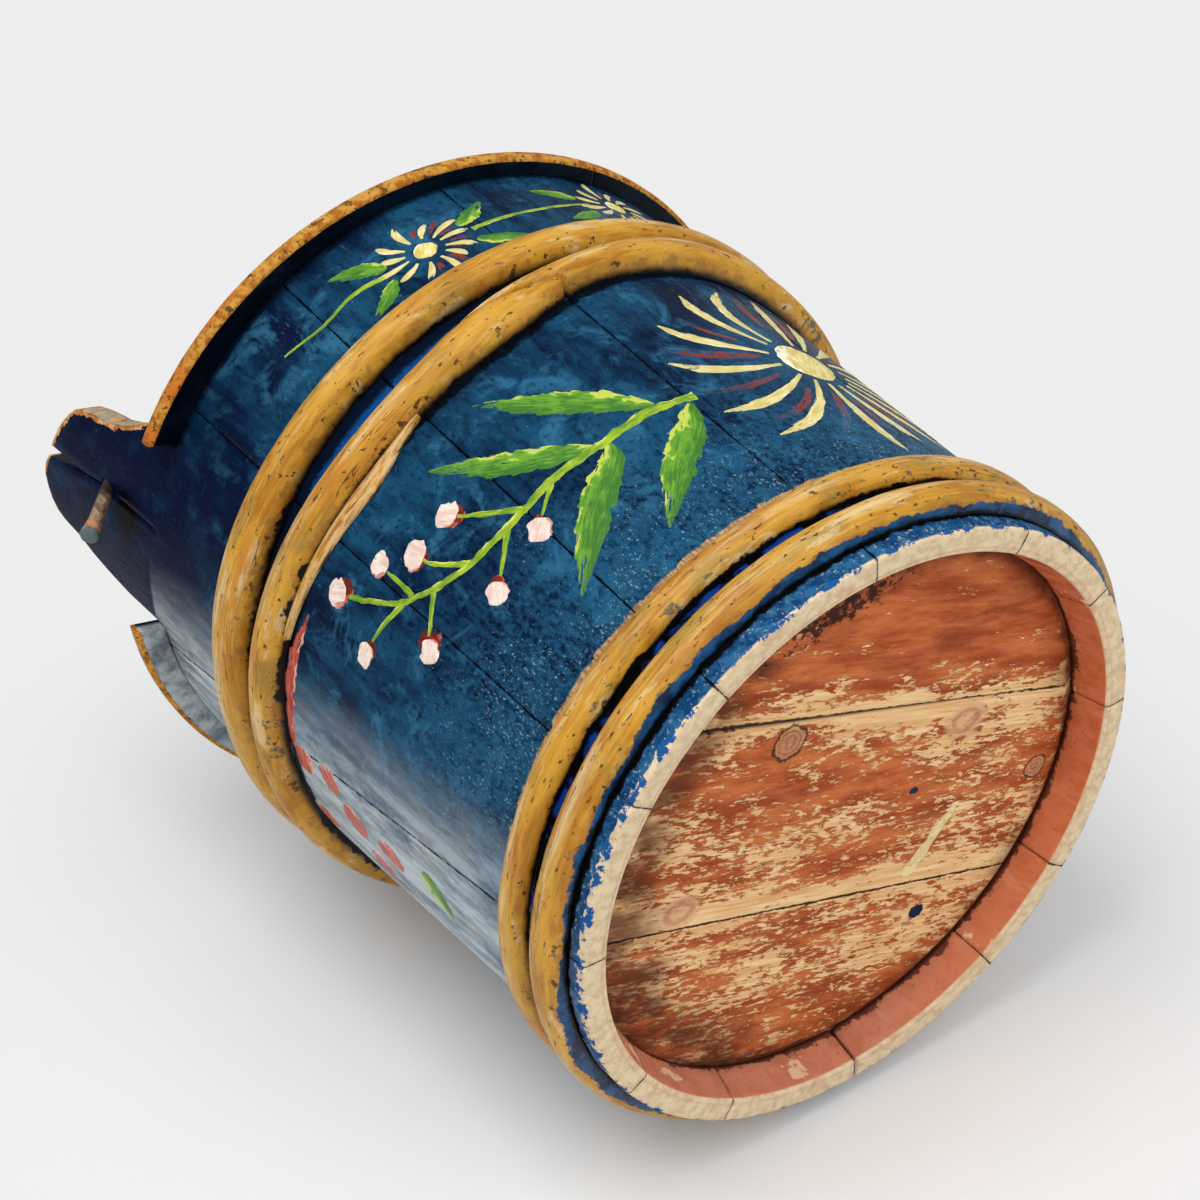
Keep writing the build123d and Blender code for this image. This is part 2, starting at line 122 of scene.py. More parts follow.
def fractal(points, seed=0, octaves=3):
    """Noise with finer and weaker copies of itself on top."""
    total = 0
    for octave in range(octaves):
        total = total + noise(points * 2 ** octave, seed + octave) / 2 ** octave
    return total


def noise_at(x, y, z, seed):
    """Noise at places given by their three coordinates."""
    return noise(np.stack(np.broadcast_arrays(x, y, z), axis=-1), seed)


def smooth(value, low, high):
    """0 below low, 1 above high, and a smooth rise between them."""
    share = np.clip((value - low) / (high - low), 0, 1)
    return share * share * (3 - 2 * share)


def polar(radius, azimuth, height):
    """Points at radii, azimuths in degrees and heights."""
    angle = np.radians(azimuth)
    radius, angle, height = np.broadcast_arrays(radius, angle, height)
    return np.stack([radius * np.cos(angle), radius * np.sin(angle), height], axis=-1)


def apart(azimuth, other):
    """Angle from one azimuth to another, from -180 to 180."""
    return (azimuth - other + 180) % 360 - 180


# Wall

def wall_radius(height):
    """Outer radius of the staved wall."""
    return BASE_RADIUS + WALL_FLARE * height


def wall_inside(height):
    """Inner radius of the wall, with the bevelled chime and the groove for the head."""
    share = np.clip((MOUTH - height) / (MOUTH - HEAD_LOW), 0, 1)
    thickness = MOUTH_THICKNESS + (FOOT_THICKNESS - MOUTH_THICKNESS) * share
    chime = CHIME_THICKNESS + (FOOT_THICKNESS - CHIME_THICKNESS) * np.clip(height / HEAD_LOW, 0, 1)
    thickness = np.where(height < HEAD_LOW, chime, thickness)
    middle = (HEAD_LOW + HEAD_HIGH) / 2
    in_groove = np.abs(height - middle) < GROOVE_HEIGHT / 2
    return wall_radius(height) - thickness + np.where(in_groove, GROOVE_DEPTH, 0)


def wall_relief(azimuth, height):
    """How far the hand-shaved wall lies inside its even cone."""
    place = polar(SHEET_RADIUS, azimuth, height * 0.3)
    return 0.00017 + 0.00010 * noise(place * 60, 1) + 0.00005 * noise(place * 260, 2)


def joint_azimuth(index, height):
    """Azimuth of a joint between two staves, which is a straight line up the wall."""
    foot, mouth = STAVE_JOINTS[index % len(STAVE_JOINTS)]
    middle = (foot + mouth) / 2
    share = height / MOUTH
    foot_offset = wall_radius(0) * np.sin(np.radians(foot - middle))
    mouth_offset = wall_radius(MOUTH) * np.sin(np.radians(mouth - middle))
    offset = foot_offset + (mouth_offset - foot_offset) * share
    return middle + np.degrees(np.arcsin(offset / wall_radius(height)))


def joint_half_gap(index, height):
    """Half the gap at a joint, in degrees."""
    gap = JOINT_GAP
    if index % len(STAVE_JOINTS) == OPEN_JOINT:
        gap = gap + (OPEN_JOINT_GAP - gap) * np.clip(1 - height / MOUTH, 0, 1)
    return np.degrees(gap / 2 / wall_radius(height))


# Sheets: a flat net of quads that becomes a closed solid with a front, a back and a rim

def on_sheet(azimuth, height):
    """Place on the wall's own sheet: the way round in metres, then the height."""
    return np.stack(np.broadcast_arrays(np.radians(azimuth) * SHEET_RADIUS, height), axis=-1)


def sheet_azimuth(sheet):
    """Azimuth of places on the wall's own sheet."""
    return np.degrees(sheet[:, 0] / SHEET_RADIUS)


def net(points):
    """Quads over a grid of points, given as rows by columns by coordinates."""
    rows, columns = points.shape[:2]
    index = np.arange(rows * columns).reshape(rows, columns)
    quads = np.stack([index[:-1, :-1], index[:-1, 1:], index[1:, 1:], index[1:, :-1]], axis=-1)
    return points.reshape(-1, points.shape[2]), quads.reshape(-1, 4)


def weld(patches, tolerance=1e-7):
    """One net from several that share the points along their common edges."""
    points = np.concatenate([one for one, _ in patches])
    counts = np.cumsum([0] + [len(one) for one, _ in patches])
    quads = np.concatenate([quad + start for (_, quad), start in zip(patches, counts)])
    keys = np.floor(points[:, :2] / tolerance + 0.37).astype(np.int64)
    _, first, inverse = np.unique(keys, axis=0, return_index=True, return_inverse=True)
    inverse = inverse.reshape(-1)
    faces = []
    for quad in inverse[quads]:
        corners = [int(c) for k, c in enumerate(quad) if c != quad[k - 1]]
        if len(set(corners)) >= 3:
            faces.append(corners)
    return points[first], faces


def border_of(points, faces):
    """Directed border edges of a net, and at each border point the direction outwards."""
    seen = {}
    for face in faces:
        for k, corner in enumerate(face):
            seen[(face[k - 1], corner)] = True
    edges = [edge for edge in seen if (edge[1], edge[0]) not in seen]
    outward = {}
    for a, b in edges:
        step = points[b, :2] - points[a, :2]
        length = np.hypot(*step)
        normal = np.array([step[1], -step[0]]) / max(length, 1e-12)
        for corner in (a, b):
            outward[corner] = outward.get(corner, 0) + normal
    for corner, total in outward.items():
        length = np.hypot(*total)
        outward[corner] = total / max(length * length / 2, 0.5) if length > 0 else total
    return edges, outward


def thick_sheet(points, faces, place, rim, flip=False, inset_scale=(1, 1), push=None):
    """Closed solid from a net. place(points, share) gives the front at share 0, the back at 1.

    rim lists (outset, share) of the rings round the border, from the front to the back. The outset
    counts in metres along the border's normal, or in shares of push where that is given.
    Returns the points, the faces, each point's place on the sheet, its share and its rim mark.
    """
    edges, outward = border_of(points, faces)
    border = sorted(outward)
    slot = {corner: k for k, corner in enumerate(border)}
    if push is None:
        push = np.array([outward[corner] for corner in border]) * np.array(inset_scale)
    else:
        push = push[border]
    count = len(points)
    marks = np.zeros(count)
    marks[border] = 0.5
    # The front and the back come first, then the rings between them
    solid, sheets, shares, rim_marks = [], [], [], []
    for k in [0, len(rim) - 1] + list(range(1, len(rim) - 1)):
        outset, share = rim[k]
        sheet = points.copy()
        sheet[border, :2] += push * outset
        between = 0 < k < len(rim) - 1
        if between:
            sheet = sheet[border]
        solid.append(place(sheet, share))
        sheets.append(sheet)
        shares.append(np.full(len(sheet), share))
        rim_marks.append(np.ones(len(border)) if between else marks)
    chains = [np.array(border)]
    for k in range(len(rim) - 2):
        chains.append(2 * count + k * len(border) + np.arange(len(border)))
    chains.append(count + np.array(border))
    made = [list(face) for face in faces]
    made += [[corner + count for corner in reversed(face)] for face in faces]
    for a, b in edges:
        for near, far in zip(chains[:-1], chains[1:]):
            made.append([int(near[slot[b]]), int(near[slot[a]]), int(far[slot[a]]), int(far[slot[b]])])
    if flip:
        made = [face[::-1] for face in made]
    return (np.concatenate(solid), made, np.concatenate(sheets), np.concatenate(shares),
            np.concatenate(rim_marks))


def tube_faces(rings, around):
    """Faces of a tube of rings of points, closed at both ends."""
    index = np.arange(rings * around).reshape(rings, around)
    turned = np.roll(index, -1, axis=1)
    quads = np.stack([index[:-1], turned[:-1], turned[1:], index[1:]], axis=-1).reshape(-1, 4)
    return quads.tolist() + [index[0][::-1].tolist(), index[-1].tolist()]


def add_attribute(mesh, name, values):
    """A number or a vector for each point of a mesh, for the materials."""
    values = np.asarray(values, np.float32)
    if values.ndim == 1:
        mesh.attributes.new(name, "FLOAT", "POINT").data.foreach_set("value", values)
    else:
        mesh.attributes.new(name, "FLOAT_VECTOR", "POINT").data.foreach_set("vector", values.ravel())


def piece(name, points, faces, body, material, slot, nodes=(), **attributes):
    """A finished piece that rides on a body and may stand for CAD nodes."""
    mesh = bpy.data.meshes.new(name)
    mesh.from_pydata(np.asarray(points).tolist(), [], faces)
    mesh.update()
    mesh.polygons.foreach_set("use_smooth", [True] * len(mesh.polygons))
    for key, values in attributes.items():
        add_attribute(mesh, key, values)
    made = bpy.data.objects.new(name, mesh)
    bpy.context.scene.collection.objects.link(made)
    made.data.materials.append(material)
    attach(made, body)
    if nodes:
        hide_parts(*nodes)
    return made


# Nodes of the materials

def as_colour(value):
    """Linear colour from one given in 0 to 255; a node's output stays as it is."""
    if isinstance(value, Value):
        return value
    values = np.array(value) / 255
    linear = np.where(values <= 0.04045, values / 12.92, ((values + 0.055) / 1.055) ** 2.4)
    return (*[float(value) for value in linear], 1.0)


class Value:
    """Output of a node, with the arithmetic of nodes written as a formula."""

    def __init__(self, shade, socket):
        self.shade = shade
        self.socket = socket

    def math(self, operation, a, b=0.0):
        return self.shade.node("ShaderNodeMath", {0: a, 1: b}, 0, operation=operation)

    def __add__(self, other):
        return self.math("ADD", self, other)

    def __radd__(self, other):
        return self.math("ADD", other, self)

    def __sub__(self, other):
        return self.math("SUBTRACT", self, other)

    def __rsub__(self, other):
        return self.math("SUBTRACT", other, self)

    def __mul__(self, other):
        return self.math("MULTIPLY", self, other)

    def __rmul__(self, other):
        return self.math("MULTIPLY", other, self)

    def __pow__(self, other):
        return self.math("POWER", self, other)

    def __abs__(self):
        return self.math("ABSOLUTE", self)

    def sine(self):
        return self.math("SINE", self)

    def maximum(self, other):
        return self.math("MAXIMUM", self, other)

    def rise(self, low, high):
        """0 below low, 1 above high; the other way round if low is the larger."""
        return self.shade.node("ShaderNodeMapRange", {0: self, 1: low, 2: high}, 0,
                               interpolation_type="SMOOTHSTEP")

    def mix(self, a, b):
        """Colour a where this share is 0 and b where it is 1; colours may be given in 0 to 255."""
        feeds = {0: self, 6: as_colour(a), 7: as_colour(b)}
        return self.shade.node("ShaderNodeMix", feeds, 2, data_type="RGBA")

    def blend(self, a, b):
        """Number a where this share is 0 and b where it is 1."""
        return self.shade.node("ShaderNodeMix", {0: self, 2: a, 3: b}, 0, data_type="FLOAT")

    def scaled(self, *scales):
        return self.shade.node("ShaderNodeVectorMath", {0: self, 1: scales}, 0, operation="MULTIPLY")

    def noise(self, scale, detail=2.0, rough=0.5, distortion=0.0):
        feeds = {"Vector": self, "Scale": scale, "Detail": detail, "Roughness": rough,
                 "Distortion": distortion}
        return self.shade.node("ShaderNodeTexNoise", feeds, 0)

    def parts(self):
        made = self.shade.node("ShaderNodeSeparateXYZ", {0: self})
        return [Value(self.shade, output) for output in made.outputs]


class Shade:
    """The nodes of a material or a world, which is its owner."""

    def __init__(self, owner):
        if isinstance(owner, str):
            owner = bpy.data.materials.new(owner)
        self.owner = owner
        owner.use_nodes = True
        self.tree = owner.node_tree
        self.tree.nodes.clear()

    def node(self, kind, feeds=(), output=None, **settings):
        """A node with its inputs fed; one of its outputs as a value, where that is asked for."""
        made = self.tree.nodes.new(kind)
        for key, value in settings.items():
            setattr(made, key, value)
        for key, value in dict(feeds).items():
            if isinstance(value, Value):
                self.tree.links.new(value.socket, made.inputs[key])
            else:
                made.inputs[key].default_value = value
        return made if output is None else Value(self, made.outputs[output])

    def place(self):
        """The point in the frame's own axes."""
        return self.node("ShaderNodeTexCoord", (), "Object")

    def mark(self, name, vector=False):
        return self.node("ShaderNodeAttribute", (), "Vector" if vector else "Fac", attribute_name=name)

    def output(self, surface):
        self.node("ShaderNodeOutputMaterial", {0: surface})
        return self.owner

    def finish(self, colour, roughness, height, distance=0.0003, shine=0.5):
        bump = self.node("ShaderNodeBump", {"Height": height, "Distance": distance}, 0)
        feeds = {"Base Color": colour, "Roughness": roughness, "Specular IOR Level": shine,
                 "Normal": bump}
        return self.output(self.node("ShaderNodeBsdfPrincipled", feeds, 0))


def wall_paint(shade):
    """Colour, roughness and height of the glossy, scratched blue paint."""
    place = shade.place()
    x, y, z = place.parts()
    along = place.scaled(1, 1, 0.22)
    broad = place.noise(26, 3, 0.6)
    streak = along.noise(190, 4, 0.65, 0.4)
    tone = broad * 0.65 + streak * 0.35
    colour = tone.rise(0.38, 0.62).mix((7, 24, 52), (24, 74, 106))
    cloud = place.noise(60, 4, 0.7, 0.6)
    colour = (cloud.rise(0.5, 0.68) * 0.65).mix(colour, (52, 114, 148))
    fine = place.scaled(1, 1, 0.7).noise(520, 4, 0.7)
    colour = (fine.rise(0.48, 0.36) * 0.5).mix(colour, (3, 10, 28))
    # Rubbed greyer towards the foot, cobalt between the two upper hoops, and darker round the ears:
    # grime with painted shade
    rubbed = z.rise(0.13, 0.04) * fine.rise(0.36, 0.66)
    colour = (rubbed * 0.75).mix(colour, (36, 88, 122))
    band = z.rise(0.16, 0.172) * z.rise(0.196, 0.186)
    colour = (band * 0.8).mix(colour, (14, 80, 150))
    side = abs(x)
    grime_and_shade = side.rise(0.096, 0.124) * z.rise(0.18, 0.235)
    patchy = place.noise(55, 4, 0.65).rise(0.66, 0.46)
    grime_and_shade = grime_and_shade * patchy.blend(0.7, 0.97)
    colour = grime_and_shade.mix(colour, (2, 8, 42))
    # A painted shadow of each peg, near black, round its hole
    drop = z - PEG_SHADOW[0]
    reach = (y * y + drop * drop) ** 0.5
    reach = reach + (cloud - 0.5) * 0.02
    peg_shadow = reach.rise(PEG_SHADOW[1], PEG_SHADOW[1] * 0.4) * side.rise(0.09, 0.1)
    colour = peg_shadow.mix(colour, (2, 2, 6))
    specks = place.scaled(1, 1, 0.6).noise(1250, 3, 0.7)
    worn = place.noise(42, 3, 0.6)
    level = 0.715 - z.rise(0.115, 0.04) * 0.095
    level = level - worn.rise(0.42, 0.7) * 0.05
    speck = (specks - level).rise(0, 0.06)
    colour = (speck * 0.6).mix(colour, (150, 182, 198))
    scuff = along.noise(900, 3, 0.6)
    scuff = scuff.rise(0.62, 0.72) * worn.rise(0.5, 0.7)
    colour = (scuff * 0.3).mix(colour, (110, 142, 166))
    roughness = cloud.rise(0.4, 0.7).blend(0.22, 0.36)
    roughness = speck.blend(roughness, 0.7)
    # A painted pale sheen, the reflection of the table, on the side that lay against it, strongest
    # nearest to it
    sheen_streaks = place.scaled(1, 1, 0.16).noise(150, 4, 0.7)
    slant = y - z * 0.1
    painted_sheen = slant.rise(-0.021, 0.025) * x.rise(-0.045, -0.075)
    painted_sheen = painted_sheen * z.rise(MOUTH + 0.0055, MOUTH + 0.003)
    painted_sheen = painted_sheen * y.rise(-0.03, 0.052).blend(0.65, 1)
    sheen_mist = place.scaled(1, 1, 0.5).noise(48, 4, 0.65)
    painted_sheen = painted_sheen * sheen_streaks.rise(0.34, 0.6).blend(0.5, 1)
    painted_sheen = painted_sheen * sheen_mist.rise(0.34, 0.56).blend(0.3, 1)
    colour = painted_sheen.mix(colour, (192, 203, 208))
    grain = along.noise(420, 3, 0.6)
    height = grain * 0.5 + specks * 0.35
    height = height - speck * 0.15
    return colour, roughness, height


def bare_wood(vector, pale=(214, 184, 140), deep=(150, 108, 66)):
    """Colour and height of bare wood whose grain runs along the first axis of the vector."""
    along = vector.scaled(0.06, 1, 1)
    rings = along.noise(420, 4, 0.6, 1.2)
    fibre = vector.scaled(0.03, 1, 1).noise(1800, 2, 0.6)
    tone = rings * 0.7 + fibre * 0.3
    return tone.rise(0.35, 0.68).mix(deep, pale), tone


def dirt_and_shade_beside_hoops(shade, colour, place, y, z):
    """Black along the lower edges of the hoops and in the gaps, painted shade with dirt; a rubbed strip
    above the base hoop; and the lid's painted shadow.
    """
    bite = place.noise(190, 4, 0.7) - 0.5
    # Painted shade with dirt, black, along the lower edges of the upper and middle hoops
    for name, reach in (("below_upper", 0.0062), ("below_middle", 0.0036)):
        below = shade.mark(name)
        level = below + bite * 0.006
        dark = level.rise(reach, reach * 0.5) * below.rise(-0.0012, -0.0004)
        colour = (dark * 0.93).mix(colour, (7, 6, 8))
    strip_top = z + bite * 0.005
    bare = strip_top.rise(0.04, 0.0393) * z.rise(0.03, 0.032)
    scratch = place.scaled(1, 1, 0.08).noise(1100, 3, 0.6)
    tan = scratch.rise(0.36, 0.62).mix((150, 110, 70), (206, 168, 118))
    colour = (bare * 0.9).mix(colour, tan)
    # Painted shade, near black with a cobalt streak, in the gap between the foot hoop and the base hoop
    gap = z.rise(0.018, 0.019) * z.rise(0.0262, 0.025)
    cobalt = place.noise(70, 3, 0.6).rise(0.5, 0.6)
    streak = cobalt * z.rise(0.0212, 0.0222)
    deep = (streak * 0.8).mix((8, 7, 9), (18, 66, 150))
    colour = gap.mix(colour, deep)
    # A black line of painted shade below the foot hoop
    line = strip_top.rise(0.0058, 0.0068) * z.rise(0.011, 0.01)
    colour = line.mix(colour, (8, 7, 9))
    # Painted shadow under the lid's rim, kept off the ears
    lid_shadow = z.rise(MOUTH - 0.0045, MOUTH - 0.0015) * z.rise(MOUTH + 0.012, MOUTH + 0.008)
    lid_shadow = lid_shadow * abs(y).rise(0.034, 0.038)
    return (lid_shadow * 0.8).mix(colour, (5, 7, 14))


def make_stave_material():
    """Blue outside, bare end grain with blue over its edge, a red chime wall, bare wood inside."""
    shade = Shade("stave")
    grain = shade.mark("grain", vector=True)
    share = shade.mark("share")
    place = shade.place()
    x, y, z = place.parts()
    blue, blue_rough, blue_height = wall_paint(shade)
    # The band below the foot hoop is rubbed lighter
    foot_band = z.rise(0.0078, 0.006)
    rubbed = place.noise(150, 5, 0.75)
    worn_blue = rubbed.rise(0.44, 0.6).mix((12, 60, 108), (46, 104, 146))
    chalk = place.noise(620, 4, 0.7).rise(0.58, 0.66)
    worn_blue = (chalk * 0.7).mix(worn_blue, (196, 190, 172))
    blue = (foot_band * 0.85).mix(blue, worn_blue)
    blue = dirt_and_shade_beside_hoops(shade, blue, place, y, z)
    joint_bite = place.noise(240, 4, 0.7) - 0.5
    joint = shade.mark("joint") + joint_bite * 0.002
    crack = joint.rise(0.0004, 0.00016)
    blue = (crack * 0.85).mix(blue, (6, 8, 16))
    wood, wood_height = bare_wood(grain)
    # End grain of the chime, mottled beige, with the blue paint run over its outer part
    mottle = place.noise(260, 4, 0.65)
    end = mottle.rise(0.34, 0.62).mix((204, 180, 144), (226, 206, 172))
    pores = place.noise(1500, 3, 0.65)
    end = (pores.rise(0.62, 0.72) * 0.5).mix(end, (120, 104, 90))
    stain = place.noise(75, 3, 0.6)
    end = (stain.rise(0.54, 0.68) * 0.35).mix(end, (196, 150, 116))
    end = (crack * 0.9).mix(end, (50, 34, 28))
    ragged = place.noise(130, 5, 0.78) - 0.5
    edge = share + ragged * 1.15
    end = edge.rise(0.03, -0.02).mix(end, (30, 86, 146))
    # The corner is worn through to the wood, furthest on the side towards the split ear
    facing = x * -0.98 + y * 0.1
    worn_reach = 0.0008 + facing.rise(0.06, 0.11) * 0.0026
    worn_level = z + ragged * 0.009
    chips = place.noise(520, 3, 0.6)
    beyond = worn_reach - worn_level
    beyond = beyond + (chips - 0.5) * 0.0055
    through = beyond.rise(-0.0002, 0.0002)
    # Red chime wall
    red_streak = place.scaled(1, 1, 0.7).noise(150, 4, 0.6)
    red = red_streak.rise(0.34, 0.64).mix((172, 82, 48), (200, 116, 84))
    tool = place.scaled(1, 1, 0.2).noise(110, 3, 0.6)
    red = (tool.rise(0.56, 0.7) * 0.45).mix(red, (226, 170, 138))
    red = (crack * 0.85).mix(red, (52, 26, 20))
    dirt = place.noise(700, 3, 0.6)
    red = (dirt.rise(0.62, 0.68) * 0.8).mix(red, (74, 28, 22))
    # Lighter towards +Y, and lighter towards +X as painted light falling on that side of the chime wall
    red = (y.rise(0, 0.085) * 0.45).mix(red, (214, 148, 120))
    red = (x.rise(0.03, 0.09) * 0.45).mix(red, (224, 124, 76))
    bald = place.noise(48, 4, 0.7).rise(0.6, 0.64)
    red = (bald * 0.8).mix(red, (232, 200, 160))
    # Darker where the chime wall meets the head: painted shade in the corner
    corner_level = z + ragged * 0.012
    corner = corner_level.rise(HEAD_LOW - 0.0002, HEAD_LOW + 0.0006)
    red = (corner * 0.8).mix(red, (60, 30, 28))
    inside = share.rise(0.7, 0.9)
    low = z.rise(HEAD_LOW + 0.0032, HEAD_LOW + 0.0022)
    inner = low.mix(wood, red)
    end_face = z.rise(0.0012, 0.0006)
    colour = through.maximum(end_face).mix(blue, end)
    colour = inside.mix(colour, inner)
    lip = inside * end_face
    colour = lip.mix(colour, end)
    # Worn upper edge of the ears: tan wood, greyed on the crest
    wear = shade.mark("wear")
    bite = place.noise(240, 4, 0.7) - 0.5
    worn = (wear + bite * 1.3).rise(0.48, 0.58)
    tan = mottle.rise(0.4, 0.6).mix((176, 108, 52), (222, 170, 112))
    crest = (wear + bite * 0.8).rise(0.92, 1.02)
    tan = (crest * 0.8).mix(tan, (150, 158, 144))
    colour = worn.mix(colour, tan)
    rough = inside.maximum(end_face).maximum(worn).blend(blue_rough, 0.74)
    height = inside.blend(blue_height, wood_height)
    end_height = mottle * 0.03
    height = end_face.blend(height, end_height)
    height = height - crack * 0.5
    return shade.finish(colour, rough, height, 0.00035, shine=0.02)


def make_hoop_material():
    """Ochre paint on split branch: streaked, rubbed pale on the crown with a painted highlight, black
    along its edges with painted shade and dirt.
    """
    shade = Shade("hoop")
    grain = shade.mark("grain", vector=True)
    across = shade.mark("across")
    flank = shade.mark("flank")
    over = shade.mark("over")
    streak = grain.scaled(0.1, 1, 1).noise(700, 4, 0.65, 0.5)
    broad = grain.scaled(0.35, 1, 1).noise(85, 3, 0.6)
    tone = streak * 0.45 + broad * 0.55
    colour = tone.rise(0.36, 0.6).mix((168, 106, 18), (208, 156, 52))
    brown = grain.scaled(0.2, 1, 1).noise(60, 4, 0.7, 0.5)
    colour = (brown.rise(0.54, 0.68) * 0.55).mix(colour, (190, 116, 40))
    olive = grain.scaled(0.3, 1, 1).noise(130, 3, 0.6)
    colour = (olive.rise(0.53, 0.66) * 0.55).mix(colour, (146, 122, 54))
    # Rubbed pale on the crown: wear, with a painted highlight along it
    rub = grain.scaled(0.12, 1, 1).noise(150, 5, 0.7)
    crown = abs(across - 0.15).rise(0.65, 0.1)
    rubbed = rub.rise(0.47, 0.62) * crown
    colour = (rubbed * 0.75).mix(colour, (226, 200, 148))
    cream = grain.scaled(0.16, 1, 1).noise(240, 5, 0.7, 0.4)
    cream = cream.rise(0.55, 0.62) * broad.rise(0.47, 0.56)
    colour = (cream * 0.7).mix(colour, (218, 192, 144))
    edge = abs(across)
    ragged = grain.scaled(0.5, 1, 1).noise(300, 5, 0.75) - 0.5
    worn = edge + ragged * 1.1
    colour = (worn.rise(0.88, 0.98) * 0.5).mix(colour, (128, 84, 44))
    # Chips down to the blue, in clusters on the foot side
    cluster = grain.scaled(0.6, 1, 1).noise(42, 2, 0.5).rise(0.55, 0.68)
    chips = grain.scaled(0.45, 1, 1).noise(420, 5, 0.75)
    low_side = across.rise(0.1, -0.8)
    level = chips + low_side * 0.07
    level = level + cluster * 0.09
    chip = level.rise(0.715, 0.735)
    colour = (chip * 0.8).mix(colour, (62, 84, 96))
    pits = grain.scaled(0.4, 1, 1).noise(640, 4, 0.65)
    pit = pits.rise(0.625, 0.66)
    colour = (pit * 0.85).mix(colour, (52, 34, 20))
    crack = grain.scaled(0.035, 1, 1).noise(330, 3, 0.6)
    crack = abs(crack - 0.5).rise(0.006, 0.001)
    cracked = crack * brown.rise(0.5, 0.6)
    colour = (cracked * 0.8).mix(colour, (40, 24, 16))
    # The wall's blue laps over the foot side, with a ragged and chipped edge
    smear = grain.scaled(0.3, 1, 1).noise(95, 5, 0.75)
    lap_level = across + flank * 0.7
    lap_level = lap_level + (smear - 0.5) * 2
    lap_edge = over * 0.5 - 0.95
    lapped = (lap_edge - lap_level).rise(-0.05, 0.06)
    lap_tone = grain.scaled(0.3, 1, 1).noise(420, 4, 0.7)
    lap_blue = lap_tone.rise(0.36, 0.62).mix((6, 28, 60), (22, 80, 126))
    # Where little blue laps over, the foot side turns near black instead: painted shade with dirt
    lap_blue = over.rise(0.42, 0.36).mix(lap_blue, (8, 9, 16))
    colour = lapped.mix(colour, lap_blue)
    # Black in the angle at the wall, widest on the foot side: painted shade with dirt
    height_here = flank + ragged * 0.45
    dirty = height_here.rise(over.rise(0.36, 0.42).blend(0.4, 0.18), 0.05)
    colour = dirty.mix(colour, (12, 8, 8))
    rough = rubbed.blend(0.36, 0.5)
    rough = chip.blend(rough, 0.6)
    height = streak * 0.8 + broad * 0.4
    height = height - chip * 0.35
    height = height - pit.maximum(cracked) * 0.5
    # The split-off sliver is rubbed pale
    sliver = over.rise(-0.5, -0.9) * streak.rise(0.4, 0.56)
    colour = (sliver * 0.8).mix(colour, (224, 186, 132))
    return shade.finish(colour, rough, height, 0.0005, shine=0.28)


